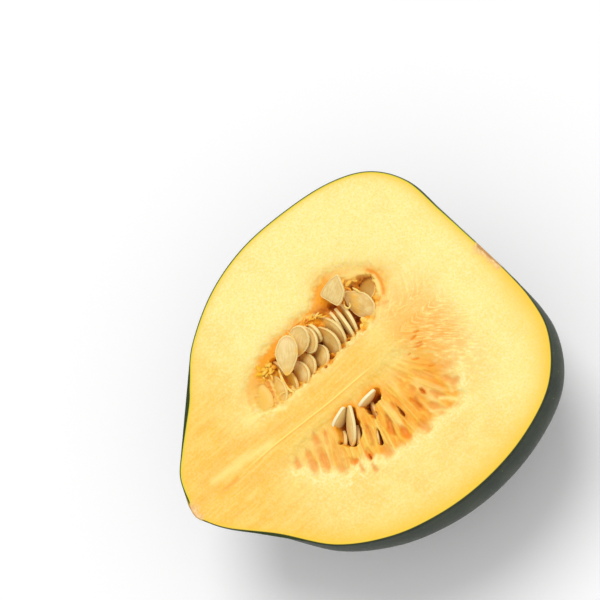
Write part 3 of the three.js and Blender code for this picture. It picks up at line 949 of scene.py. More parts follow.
def half_mesh(grid):
    """One closed mesh: the rind's grid, and the cut face stitched to its edge."""
    numbers = np.arange(grid[..., 0].size).reshape(grid.shape[:2])
    numbers[0] = numbers[0, 0]
    numbers[-1] = numbers[-1, 0]
    faces = []
    for i in range(LENGTH_STEPS):
        for j in range(TURN_STEPS):
            corners = [numbers[i, j], numbers[i, j + 1], numbers[i + 1, j + 1], numbers[i + 1, j]]
            faces.append([int(c) for k, c in enumerate(corners) if c != corners[k - 1]])
    skin_faces = len(faces)
    edge, places = cut_edge(grid)
    inner = face_points(edge)
    flat = [Vector(p) for p in np.concatenate([edge, inner])]
    loop = list(range(len(edge)))
    found, _, triangles, origins, _, _ = delaunay_2d_cdt(flat, [], [loop], INSIDE_ONLY, WELD_DISTANCE, True)
    points = np.array([tuple(p) for p in found])
    face = Face(points, distance_to_line(points, edge, closed=True))
    vertex_of = []
    inside = []
    for index, sources in enumerate(origins):
        on_edge = [s for s in sources if s < len(edge)]
        if on_edge:
            vertex_of.append(int(numbers[places[on_edge[0]]]))
        else:
            vertex_of.append(numbers.size + len(inside))
            inside.append(index)
    faces += [[vertex_of[c] for c in triangle] for triangle in triangles]
    top = np.column_stack([points[inside], -face.depth[inside]])
    vertices = np.concatenate([grid.reshape(-1, 3), top])
    weights = {}
    for name, values in face.weights().items():
        weights[name] = np.zeros(len(vertices))
        weights[name][vertex_of] = values
    return vertices, faces, skin_faces, weights


# ---- Materials ----
# Colours are given as screen values from 0 to 255.
WHITE = (255, 255, 255)

# Flesh.
YELLOW_FLESH, WARM_FLESH = (254, 234, 139), (254, 198, 70)
PALE_GRAIN, DARK_GRAIN = (255, 248, 190), (252, 208, 90)
PALE_RUN, DARK_RUN = (255, 226, 130), (252, 184, 76)
FEATHER_ORANGE = (252, 170, 56)
DEEP_FIBRE, PALE_FIBRE = (247, 156, 18), (254, 202, 76)
RAY_YELLOW = (255, 226, 136)
RIPE_ORANGE = (252, 168, 24)
# Painted shade: deeper orange where the fan's furrows sink.
FURROW_SHADE_ORANGE = (253, 190, 84)
GLOWING_ORANGE = (252, 164, 10)
CORE_SHADE, CORE_THREAD = (250, 176, 66), (255, 232, 122)
TORN_CREAM = (255, 242, 170)
GREENISH = (225, 215, 50)
RIND_LINE = (52, 66, 26)
# Tints laid over the fibres, then over the core's thread, then over the torn rims: attribute,
# strength, colour. The brown over the fibres and the deep and dark tints are painted shade in recesses.
FIBRE_TINTS = (
    ("pit", 0.75, (242, 160, 72)),
    ("cord", 0.6, (255, 210, 88)),
    # painted shade: brown in the deepest pits, slits and gaps
    ("browned", 0.9, (196, 104, 20)),
    ("pale", 1, (255, 234, 142)),
)
SPOT_TINTS = (("ember", 0.85, (248, 140, 6)), ("tuft", 0.9, (255, 200, 40)))
# deep and dark are painted shade, darker with depth below the cut; gold is the flesh's own band by the rind
SHADE_AND_GOLD_TINTS = (
    ("deep", 0.85, (226, 136, 34)),
    ("dark", 0.8, (140, 40, 8)),
    ("gold", 0.95, (255, 203, 45)),
)

# Cork, rind, seeds and pulp.
DARK_CUT_CORK, PALE_CUT_CORK, CORK_RIM = (236, 178, 118), (252, 218, 158), (186, 112, 60)
DARK_CORK, PALE_CORK = (190, 124, 76), (232, 188, 138)
DARK_GREEN, SOFT_GREEN, FINE_GREEN, FLECK_GREEN = (38, 46, 36), (54, 62, 46), (70, 80, 58), (150, 165, 110)
DULL_SEED, PALE_SEED = (234, 190, 100), (250, 222, 148)
# The last of these, in the groove inside a seed's margin, is painted shade.
SEED_GRAIN, SEED_SPECKS, GROOVE_SHADE = (216, 168, 84), (205, 160, 78), (210, 158, 78)
# Painted highlight on some seeds' faces and margins; brown that is partly a seed's own tone and partly
# painted shade.
HIGHLIGHT_FACE, BROWN_AND_SHADE_FACE = (252, 232, 166), (196, 138, 30)
SEED_MARGIN, HIGHLIGHT_MARGIN, BROWN_AND_SHADE_MARGIN = (255, 230, 156), (255, 244, 196), (236, 176, 80)
SMEARED_PULP = (252, 194, 56)
PALE_PULP, YELLOW_PULP, ORANGE_PULP = (255, 224, 120), (255, 194, 44), (238, 118, 10)

MIX_COLOURS = (6, 7)  # the mix node's inputs for colours
MIX_RESULT = 2
# How far red, green and blue light spread under the surface, in metres.
FLESH_SPREAD = (0.003, 0.0022, 0.0012)
SEED_SPREAD = (0.002, 0.0012, 0.0006)


def linear(colour):
    """A colour given as 0 to 255 screen values, as the shader takes it: by the sRGB curve."""
    values = [c / 255 for c in colour]
    return (*[c / 12.92 if c <= 0.04045 else ((c + 0.055) / 1.055) ** 2.4 for c in values], 1)


class Material:
    """A node material built line by line; every method gives back the socket it made."""

    def __init__(self, name):
        self.data = bpy.data.materials.new(name)
        self.data.use_nodes = True
        self.tree = self.data.node_tree
        self.shader = self.tree.nodes["Principled BSDF"]

    def node(self, kind, inputs, output=0, **settings):
        node = self.tree.nodes.new(kind)
        for key, value in settings.items():
            setattr(node, key, value)
        for key, value in inputs.items():
            self.feed(node.inputs[key], value)
        return node.outputs[output]

    def feed(self, socket, value):
        if isinstance(value, bpy.types.NodeSocket):
            self.tree.links.new(value, socket)
        else:
            socket.default_value = value

    def millimetres(self, stretch=(1, 1, 1)):
        """Place on the object in millimetres, times a stretch along each axis."""
        place = self.node("ShaderNodeTexCoord", {}, "Object")
        scale = tuple(s / MM for s in stretch)
        return self.node("ShaderNodeVectorMath", {0: place, 1: scale}, operation="MULTIPLY")

    def attribute(self, name):
        return self.node("ShaderNodeAttribute", {}, "Fac", attribute_name=name)

    def noise(self, place, size, detail=2.0, roughness=0.5):
        """Noise whose features are about size across, in the units of place."""
        inputs = {"Vector": place, "Scale": 1 / size, "Detail": detail, "Roughness": roughness}
        return self.node("ShaderNodeTexNoise", inputs, "Fac")

    def cells(self, place, size):
        """Distance from the middle of the nearest of many specks, as a share of their size."""
        return self.node("ShaderNodeTexVoronoi", {"Vector": place, "Scale": 1 / size}, "Distance")

    def math(self, operation, first, second=0.0, clamp=False):
        inputs = {0: first, 1: second}
        return self.node("ShaderNodeMath", inputs, operation=operation, use_clamp=clamp)

    def times(self, first, second):
        return self.math("MULTIPLY", first, second)

    def between(self, value, low, high, start=0.0, end=1.0):
        """start where value is at low, end where it is at high, smooth in between."""
        inputs = {"Value": value, "From Min": low, "From Max": high, "To Min": start, "To Max": end}
        return self.node("ShaderNodeMapRange", inputs, interpolation_type="SMOOTHSTEP")

    def mix(self, share, first, second):
        """first where share is 0 and second where it is 1: sockets, or colours as screen values."""
        inputs = {0: share}
        for place, colour in zip(MIX_COLOURS, (first, second)):
            inputs[place] = colour if isinstance(colour, bpy.types.NodeSocket) else linear(colour)
        return self.node("ShaderNodeMix", inputs, MIX_RESULT, data_type="RGBA")

    def tinted(self, colour, rows):
        """The colour with tints laid over it in turn: attribute, strength, colour of the tint."""
        for name, strength, tint in rows:
            colour = self.mix(self.times(self.attribute(name), strength), colour, tint)
        return colour

    def join(self, x, y):
        return self.node("ShaderNodeCombineXYZ", {0: x, 1: y})

    def bump(self, height, distance):
        return self.node("ShaderNodeBump", {"Height": height, "Distance": distance * MM, "Strength": 1.0})

    def finish(self, **sockets):
        """Sets the shader's sockets, named with underscores for spaces."""
        for name, value in sockets.items():
            self.feed(self.shader.inputs[name.replace("_", " ")], value)
        return self.data


def plain_flesh(m, place, grain, fibre):
    """Cut flesh away from the fibres: paler and warmer patches, grain, and runs along the core."""
    warm = m.attribute("warm")
    blotch = m.noise(place, size=9, detail=3)
    warmth = m.math("ADD", warm, m.between(blotch, 0.3, 0.7, -0.16, 0.16), clamp=True)
    colour = m.mix(warmth, YELLOW_FLESH, WARM_FLESH)
    even = m.between(warm, 0, 1, 1, 0.4)
    colour = m.mix(m.times(m.between(grain, 0.35, 0.7, 0, 0.5), even), colour, PALE_GRAIN)
    speck = m.cells(place, size=1.1)
    colour = m.mix(m.times(m.between(speck, 0, 0.45, 0.42, 0), even), colour, DARK_GRAIN)
    run = m.noise(m.millimetres(stretch=(0.09, 1, 1)), size=1.3, detail=3, roughness=0.6)
    colour = m.mix(m.times(warm, m.between(run, 0.45, 0.75, 0, 0.5)), colour, PALE_RUN)
    colour = m.mix(m.times(warm, m.between(run, 0.25, 0.5, 0.4, 0)), colour, DARK_RUN)
    feathered = m.times(m.attribute("feather"), m.between(fibre, 0.32, 0.6))
    return m.mix(m.times(feathered, 0.85), colour, FEATHER_ORANGE)


def fibrous_flesh(m, colour, place, fibre):
    """Orange fibres laid over the plain flesh in the fan and round the upper bed."""
    fibrous = m.mix(m.between(fibre, 0.35, 0.7), DEEP_FIBRE, PALE_FIBRE)
    fibrous = m.mix(m.times(m.attribute("ray"), 0.8), fibrous, RAY_YELLOW)
    ripe = m.between(m.noise(place, size=7), 0.35, 0.65, 0, 0.45)
    fibrous = m.mix(ripe, fibrous, RIPE_ORANGE)
    # Painted shade: deeper orange in the fan's sunken furrows.
    colour = m.mix(m.between(m.attribute("furrow"), 0.4, 0.9, 0, 0.5), colour, FURROW_SHADE_ORANGE)
    colour = m.mix(m.attribute("orange"), colour, fibrous)
    glow = m.times(m.attribute("glow"), m.between(fibre, 0.25, 0.6, 0.65, 1))
    # The fibre tints include painted shade: brown in the deepest pits, slits and gaps.
    return m.tinted(m.mix(glow, colour, GLOWING_ORANGE), FIBRE_TINTS)


def core_thread(m, colour, beside):
    """The pale thread along the core, with a darker shade on one side of it."""
    threaded = m.attribute("threaded")
    shade = m.between(m.math("ABSOLUTE", m.math("ADD", beside, 0.55)), 0.1, 0.6, 0.55, 0)
    colour = m.mix(m.times(shade, threaded), colour, CORE_SHADE)
    thread = m.between(m.math("ABSOLUTE", beside), 0.12, 0.42, 0.9, 0)
    return m.mix(m.times(thread, threaded), colour, CORE_THREAD)


def beside_rind(m, colour, grain, beside):
    """The greenish band and the dark line along the rind, and the cork at both ends of the core."""
    depth = m.attribute("rind_depth")
    scar = m.attribute("scar")
    greenish = m.times(m.between(depth, 0.5, 1.5, 0.8, 0), m.between(beside, -1, 1, 0.35, 1))
    colour = m.mix(greenish, colour, GREENISH)
    line = m.math("SUBTRACT", m.between(depth, 0.5 * RIND, 1.1 * RIND, 1, 0), scar, clamp=True)
    colour = m.mix(line, colour, RIND_LINE)
    cork = m.mix(m.between(grain, 0.3, 0.7), DARK_CUT_CORK, PALE_CUT_CORK)
    cork = m.mix(m.between(depth, 0.1, 0.6, 0.7, 0), cork, CORK_RIM)
    return m.mix(m.times(scar, 0.9), colour, cork)


def flesh_material():
    m = Material("squash flesh")
    place = m.millimetres()
    grain = m.noise(place, size=0.9, roughness=0.6)
    fibre = m.noise(m.join(m.attribute("across"), m.attribute("along")), size=5, detail=3, roughness=0.6)
    beside = m.attribute("core_side")
    colour = plain_flesh(m, place, grain, fibre)
    colour = fibrous_flesh(m, colour, place, fibre)
    colour = core_thread(m, colour, beside)
    colour = m.tinted(colour, SPOT_TINTS)
    torn = m.noise(place, size=0.9, detail=3, roughness=0.7)
    torn = m.times(m.attribute("rim"), m.between(torn, 0.42, 0.6, 0.4, 1))
    # The deep and dark tints laid here are painted shade that darkens tissue with its depth.
    colour = m.tinted(m.mix(torn, colour, TORN_CREAM), SHADE_AND_GOLD_TINTS)
    colour = beside_rind(m, colour, grain, beside)
    relief = m.math("ADD", m.times(grain, 0.5), m.times(fibre, m.attribute("orange")))
    return m.finish(
        Base_Color=colour,
        Roughness=m.between(grain, 0.3, 0.7, 0.42, 0.6),
        Specular_IOR_Level=0.25,
        Subsurface_Weight=0.3,
        Subsurface_Radius=FLESH_SPREAD,
        Subsurface_Scale=0.5,
        Normal=m.bump(relief, distance=0.12),
    )


def rind_material():
    m = Material("squash rind")
    place = m.millimetres()
    blotch = m.noise(place, size=14, detail=4, roughness=0.6)
    fine = m.noise(place, size=1.2, detail=3, roughness=0.6)
    fleck = m.cells(place, size=2.6)
    colour = m.mix(m.between(blotch, 0.35, 0.7), DARK_GREEN, SOFT_GREEN)
    colour = m.mix(m.between(fine, 0.4, 0.75, 0, 0.5), colour, FINE_GREEN)
    colour = m.mix(m.between(fleck, 0.03, 0.1, 0.6, 0), colour, FLECK_GREEN)
    return m.finish(
        Base_Color=colour,
        Roughness=m.between(fine, 0.3, 0.7, 0.45, 0.6),
        Specular_IOR_Level=0.3,
        Normal=m.bump(m.math("ADD", fine, m.times(fleck, 0.4)), distance=0.08),
    )


def cork_material():
    m = Material("corky scar")
    grain = m.noise(m.millimetres(), size=0.6, detail=3, roughness=0.7)
    colour = m.mix(m.between(grain, 0.35, 0.7), DARK_CORK, PALE_CORK)
    return m.finish(Base_Color=colour, Roughness=0.8, Normal=m.bump(grain, distance=0.3))


def seed_material():
    m = Material("seed coat")
    place = m.millimetres()
    margin = m.attribute("margin")
    # Painted highlight on the lit margins and faces of some seeds.
    bleached = m.attribute("bleached")
    # Brown: partly a seed's own tone, partly painted shade on seeds lying low in shadow.
    browned = m.times(m.attribute("browned"), 0.75)
    cloud = m.noise(place, size=3.5, detail=3, roughness=0.55)
    fine = m.noise(place, size=0.35, roughness=0.6)
    pale = m.math("ADD", m.between(cloud, 0.35, 0.7), m.times(m.attribute("tone"), 0.5), clamp=True)
    face = m.mix(pale, DULL_SEED, PALE_SEED)
    lengthwise = m.join(m.attribute("across"), m.times(m.attribute("along"), 0.15))
    grain = m.noise(lengthwise, size=0.7, detail=3)
    face = m.mix(m.between(grain, 0.45, 0.7, 0, 0.35), face, SEED_GRAIN)
    face = m.mix(m.between(fine, 0.4, 0.8, 0, 0.25), face, SEED_SPECKS)
    # Painted shade in the groove just inside the pale margin.
    face = m.mix(m.between(margin, -1, 0, 0.4, 0), face, GROOVE_SHADE)
    face = m.mix(m.times(bleached, 0.65), face, HIGHLIGHT_FACE)
    face = m.mix(browned, face, BROWN_AND_SHADE_FACE)
    edge = m.mix(bleached, SEED_MARGIN, HIGHLIGHT_MARGIN)
    edge = m.mix(m.times(browned, 0.6), edge, BROWN_AND_SHADE_MARGIN)
    colour = m.mix(m.between(margin, 0.2, 0.9, 0, 0.95), face, edge)
    smeared = m.times(m.attribute("stain"), m.between(cloud, 0.2, 0.5, 0.5, 1))
    return m.finish(
        Base_Color=m.mix(smeared, colour, SMEARED_PULP),
        Roughness=0.42,
        Specular_IOR_Level=0.5,
        Subsurface_Weight=0.15,
        Subsurface_Radius=SEED_SPREAD,
        Subsurface_Scale=0.5,
        Normal=m.bump(fine, distance=0.03),
    )


def pulp_material():
    m = Material("wet pulp")
    place = m.millimetres()
    cloud = m.noise(place, size=1.6, detail=3, roughness=0.6)
    fine = m.noise(place, size=0.4, roughness=0.6)
    shade = m.math("ADD", m.attribute("tint"), m.between(cloud, 0.3, 0.7, -0.22, 0.22), clamp=True)
    yellow = m.mix(m.between(shade, 0, 0.5), PALE_PULP, YELLOW_PULP)
    return m.finish(
        Base_Color=m.mix(m.between(shade, 0.45, 1), yellow, ORANGE_PULP),
        Roughness=m.between(fine, 0.3, 0.7, 0.3, 0.5),
        Specular_IOR_Level=0.45,
        Normal=m.bump(fine, distance=0.06),
    )


# ---- The half ----
# How far inside and outside its radius a scar's edge reaches, the height of its grain, and how far
# both scars are moved towards the tip: that sinks the one at the stem and raises the other.
STEM_SCAR_BEVEL = (1, 0.6)
NUB_BEVEL = (0.8, 0.4)
STEM_SCAR_GRAIN = 0.35
NUB_GRAIN = 0.3
SCAR_SHIFT = 0.5
SCAR_EDGE_SIZE = 1.5
RIND_SLOT, FLESH_SLOT, CORK_SLOT = range(3)


def scarred(grid):
    """The skin with its stem scar sunk in and its blossom nub standing a little proud."""
    grid = grid.copy()
    x, y, z = grid[..., 0], grid[..., 1], grid[..., 2]
    out = np.hypot(y, z)
    grain = rough.pattern(y, z, CORK_PATTERN)
    stem_edge = (STEM_SCAR_RADIUS - STEM_SCAR_BEVEL[0], STEM_SCAR_RADIUS + STEM_SCAR_BEVEL[1])
    nub_edge = (BLOSSOM_SCAR_RADIUS - NUB_BEVEL[0], BLOSSOM_SCAR_RADIUS + NUB_BEVEL[1])
    stem = (x > LENGTH / 2) * fade_out(out, *stem_edge)
    nub = (x < LENGTH / 2) * fade_out(out, *nub_edge)
    grid[..., 0] += stem * (STEM_SCAR_GRAIN * grain - SCAR_SHIFT)
    grid[..., 0] += nub * (NUB_GRAIN * grain - SCAR_SHIFT)
    return grid


def is_scar(vertices):
    x, y, z = vertices.T
    out = np.hypot(y, z) + SCAR_WANDER * rough.centred(y, z, SCAR_EDGE_SIZE)
    return np.where(x > LENGTH / 2, out < STEM_SCAR_RADIUS, out < BLOSSOM_SCAR_RADIUS)


def squash_half():
    grid = scarred(SKIN)
    grid[..., 2] = np.maximum(grid[..., 2], (BOX_LOW.z - BOX_HIGH.z) / MM)
    vertices, faces, skin_faces, weights = half_mesh(grid)
    piece = add_mesh("half", to_row(vertices), faces, [rind_material(), flesh_material(), cork_material()])
    slots = np.zeros(len(faces), np.int32)
    corky = is_scar(vertices)
    slots[:skin_faces] = [CORK_SLOT if corky[face].all() else RIND_SLOT for face in faces[:skin_faces]]
    slots[skin_faces:] = FLESH_SLOT
    piece.data.polygons.foreach_set("material_index", slots)
    for name, values in weights.items():
        set_attribute(piece.data, name, values)
    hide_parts("squash_half")
    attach(piece, "root")


# ---- Seeds ----
SEED_STEPS = 72  # round a seed's outline
SEED_TAPER = 0.2  # how much narrower a seed is towards its point
SEED_SLIMNESS = 1.2  # above 1 draws the outline in towards both ends
SEED_BEAK = 0.05  # how much longer the point makes a seed, as a share of its length
BEAK_START = 0.7
SEED_ROUGHNESS = 0.012  # share by which the outline is uneven
SEED_DENT = 0.3  # most that a seed is dented or twisted
SEED_BEND = 0.25  # share of the thickness that a full dent or twist moves the coat by
SEED_END = 0.3  # beyond this share of its half length a seed's end is compared for its width
# Section of a seed from the middle of its face to its edge: share of the way out, share of the
# half thickness, and how much shows of the pale margin, or below 0 of the painted shade in the groove inside
# it.
SEED_SECTION = [
    (0.0, 0.94, 0), (0.3, 0.93, 0), (0.55, 0.87, 0), (0.74, 0.73, -0.2), (0.86, 0.55, -0.7),
    (0.91, 0.48, -1), (0.93, 0.51, 0.3), (0.948, 0.55, 1), (0.97, 0.52, 1), (0.988, 0.36, 1),
    (1.0, 0.12, 1),
]
# Seeds with an outline of their own: along to the point and across, in millimetres.
SEED_OUTLINES = {
    "upper_seed_01": [
        (6.1, 1.2), (2.6, 3.2), (-1.1, 4.6), (-4.5, 5.1), (-5.5, 4.1), (-5.5, 1.6), (-5.4, -1.4),
        (-5.1, -3.9), (-3.6, -4.7), (-0.9, -4.8), (1.8, -4.1), (4.1, -1.9), (5.6, 0),
    ],
    "upper_seed_12": [
        (8.4, 0.3), (7.0, 1.9), (4.2, 3.2), (1.5, 4.2), (-0.9, 4.5), (-3.7, 4.1), (-6.1, 2.7),
        (-7.2, 0.6), (-6.8, -1.2), (-5.2, -3.0), (-2.4, -4.2), (0.4, -4.5), (3.6, -3.6), (7.2, -1.5),
        (8.3, -0.7),
    ],
}
# Painted highlight: these seeds' margins and faces are whitened where their edges face the light.
HIGHLIGHTED_SEEDS = {"lower_seed_01": 1, "lower_seed_02": 0.35, "lower_seed_03": 1}
# Seeds tinted brown: partly their own darker tone, partly painted shade on seeds that lie low in shadow.
BROWN_AND_SHADE_SEEDS = {
    "upper_seed_03": 1, "upper_seed_07": 0.3, "upper_seed_08": 0.4, "upper_seed_14": 0.25,
    "upper_seed_16": 0.8, "upper_seed_19": 1, "lower_seed_05": 0.3, "lower_seed_06": 0.4,
    "lower_seed_07": 0.3,
}
PALER_HEIGHTS = (-5.0, 3.0)  # a seed that stands higher is paler
# Pulp smeared on the seeds: x, y, radius, strength.
SEED_STAINS = [
    (69.5, 20.4, 1.2, 0.8), (59.8, 16, 2.3, 1), (99.2, 23.4, 1.3, 0.9), (97.8, 21, 1.3, 0.9),
    (96.6, 18.8, 1.1, 0.7), (63, 16, 1, 0.8), (51.5, 18.5, 1.8, 0.6), (50.5, 12.5, 1.2, 0.7),
    (84, 24.5, 1.2, 0.8), (46.6, 17, 9, 0.9),
]


def seed_axes(node):
    """Middle, axes and size of a seed of the solids: the first axis runs to its point."""
    points = from_row([v.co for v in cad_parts[node].data.vertices])
    _, _, axes = np.linalg.svd(points - points.mean(axis=0), full_matrices=False)
    axes = axes.copy()
    if axes[2, 2] < 0:
        axes[2] *= -1
    reach = (points - points.mean(axis=0)) @ axes.T
    across = np.abs(reach[:, 1])
    pointed = across[reach[:, 0] > SEED_END * reach[:, 0].max()].mean()
    blunt = across[reach[:, 0] < SEED_END * reach[:, 0].min()].mean()
    if pointed > blunt:
        axes[0] *= -1
    axes[1] = np.cross(axes[2], axes[0])
    reach = (points - points.mean(axis=0)) @ axes.T
    low, high = reach.min(axis=0), reach.max(axis=0)
    middle = points.mean(axis=0) + ((low + high) / 2) @ axes
    size = high - low
    size[0] /= 1 + SEED_BEAK
    return middle - SEED_BEAK / 2 * size[0] * axes[0], axes, size


def seed_outline(node, length, width):
    """The outline seen from the seed's face, anticlockwise from its point."""
    if node in SEED_OUTLINES:
        points = SEED_OUTLINES[node]
        return through(points, np.linspace(0, len(points), SEED_STEPS, endpoint=False), closed=True)
    turns = np.linspace(0, 2 * np.pi, SEED_STEPS, endpoint=False)
    along = np.cos(turns)
    beak = SEED_BEAK * smoothstep(along, BEAK_START, 1)
    girth = np.sign(np.sin(turns)) * np.abs(np.sin(turns)) ** SEED_SLIMNESS
    return np.column_stack([
        (along / 2 + beak) * length / (1 + SEED_BEAK) - SEED_BEAK * length / 2,
        girth * (1 - SEED_TAPER * along) * width / 2,
    ])


def seed_shape(outline, thickness, rng):
    """Vertices, faces and margin shares of a seed lying along x with its point at +x."""
    dent, twist = rng.uniform(-SEED_DENT, SEED_DENT, 2)
    outline = outline * (1 + SEED_ROUGHNESS * rng.standard_normal((len(outline), 1)))
    reach = np.abs(outline).max(axis=0)
    vertices, margins = [], []
    for side in (1, -1):
        for out, rise, margin in SEED_SECTION[1:] if side == 1 else SEED_SECTION[1:-1]:
            x, y = (outline * out).T
            bend = dent * (x / reach[0]) ** 2 + twist * (y / reach[1]) * (x / reach[0])
            height = side * rise / 2 + SEED_BEND * bend
            vertices.append(np.column_stack([x, y, height * thickness]))
            margins += [margin] * SEED_STEPS
    rings = len(SEED_SECTION) - 1
    order = list(range(rings)) + list(range(rings, 2 * rings - 1))[::-1]
    faces = []
    for first, second in zip(order, order[1:]):
        for k in range(SEED_STEPS):
            following = (k + 1) % SEED_STEPS
            faces.append([
                first * SEED_STEPS + k, second * SEED_STEPS + k,
                second * SEED_STEPS + following, first * SEED_STEPS + following,
            ])
    points = np.concatenate(vertices)
    for side, ring in ((1, 0), (-1, rings)):
        centre = len(points)
        points = np.vstack([points, [0, 0, side * SEED_SECTION[0][1] * thickness / 2]])
        margins.append(0)
        for k in range(SEED_STEPS):
            corners = [centre, ring * SEED_STEPS + k, ring * SEED_STEPS + (k + 1) % SEED_STEPS]
            faces.append(corners if side == 1 else corners[::-1])
    return points, faces, margins


def seeds():
    material = seed_material()
    names = sorted(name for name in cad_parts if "seed" in name)
    for number, node in enumerate(names):
        rng = np.random.default_rng(number)
        middle, axes, size = seed_axes(node)
        outline = seed_outline(node, size[0], size[1])
        points, faces, margins = seed_shape(outline, size[2], rng)
        points = middle + points @ axes
        piece = add_mesh(node + "_coat", to_row(points), faces, [material])
        values = {
            "margin": margins,
            "along": (points - middle) @ axes[0],
            "across": (points - middle) @ axes[1],
            "stain": spots(points[:, 0], points[:, 1], SEED_STAINS),
            "tone": smoothstep(middle[2], *PALER_HEIGHTS),
            "bleached": HIGHLIGHTED_SEEDS.get(node, 0),
            "browned": BROWN_AND_SHADE_SEEDS.get(node, 0),
        }
        for name, value in values.items():
            set_attribute(piece.data, name, np.full(len(points), value))
        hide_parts(node)
        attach(piece, "root")


# ---- Pulp: strands, lumps, the tuft and the fringe ----
PULP_SEED = 31
BLADE_SIDES = 6
BLADE_STEPS = 14
BLADE_TAPER = 0.5  # lower keeps a strand's width nearer to its ends
LUMP_SIDES = 16
LUMP_STEPS = 9
LUMP_UNEVENNESS = 0.22
LUMP_CRUMPLE = 0.25
LUMP_CRUMPLE_SIZE = 1.2
CROOKED_KNOTS = 5
CROOKEDNESS = 0.05  # share of its length that a torn fibre strays by

# Strands that lie where the photograph shows them: points on them (x, y, height), then width,
# thickness and tint, from 0 for pale yellow to 1 for deep orange.
STRANDS = [
    # between the nearly covered seeds at the tip end of the upper bed
    ([(58.7, 22, -1.3), (57.4, 18.5, -1.3), (56.6, 13.5, -1.0), (57.8, 9.2, -0.5)], 1.3, 0.3, 0.2),
    ([(49.7, 11.6, -0.6), (52.4, 13.1, 0.2), (54.8, 12.6, 0.3), (56.6, 11.2, -0.4)], 0.35, 0.25, 0.1),
    # over the big seeds
    ([(71, 29.4, 4.2), (71.3, 26.1, 4.9), (70.9, 23, 4.4)], 0.45, 0.3, 0.05),
    ([(95.4, 24.8, 0.2), (94.2, 22.9, 0.6), (94.6, 21.2, 0.6), (95.9, 21.3, 0.5), (96.4, 23, 0.1)],
     0.75, 0.7, 0.0),
    ([(101, 26.8, -0.4), (101.8, 24.6, -0.1), (102.2, 22.6, -0.3)], 0.9, 0.4, 0.05),
    # torn strips beside the gap under the seed at the top
    ([(98.5, 29.6, -1.6), (99.8, 27.6, -1.2), (99.8, 25.8, -1)], 0.8, 0.5, 0.6),
]
# Lumps of torn tissue: x, y, height, length, width, thickness, heading, tint.
LUMPS = [
    (101.4, 29.8, -2.0, 4.2, 1.4, 0.7, 10, 0.35), (103.4, 29.2, -2.0, 3.4, 1.2, 0.6, -60, 0.3),
    (99.4, 31.4, -1.6, 3.0, 1.6, 0.9, 10, 0.45), (96.3, 13.4, -1.7, 4.2, 2.6, 0.6, 100, 0.35),
    (94.2, 12.4, -1.9, 3.0, 1.8, 0.5, 80, 0.4), (80.2, 29, -1.7, 3.0, 1.4, 0.5, -10, 0.15),
    (76.4, 29.3, -1.5, 3.2, 1.2, 0.5, 5, 0.3), (84, 27.6, -2.4, 2.6, 1.2, 0.5, 20, 0.3),
]
# Torn fibres of the tuft, and of the fringe between two places on the far bank of the upper bed.
# Headings are in degrees from +X and heights from the plane of the cut. ARCH is how far a fibre
# rises between its ends, and it starts a little way along its arch.
ARCH_START = 0.1
FIBRE_HEIGHTS = (-1.6, -0.9)
TUFT_FIBRES = 16
TUFT_SCATTER = 1.4
TUFT_TINTS = (0.35, 0.6)
TUFT_LENGTHS = (1.6, 3.6)
TUFT_BOWS = (-0.6, 0.6)
TUFT_ARCH = 0.6
TUFT_WIDTHS = (0.9, 1.8)
TUFT_THICKNESS = 0.35
FRINGE = ((72.5, 29.8), (84.5, 27))
FRINGE_FIBRES = 26
FRINGE_SCATTER = 0.5
FRINGE_HEADINGS = (-35, 45)
FRINGE_LENGTHS = (1.6, 3.8)
FRINGE_BOWS = (-0.4, 0.4)
FRINGE_ARCH = 0.4
FRINGE_WIDTHS = (0.5, 1.0)
FRINGE_THICKNESS = 0.25
FRINGE_TINTS = (0.2, 0.8)


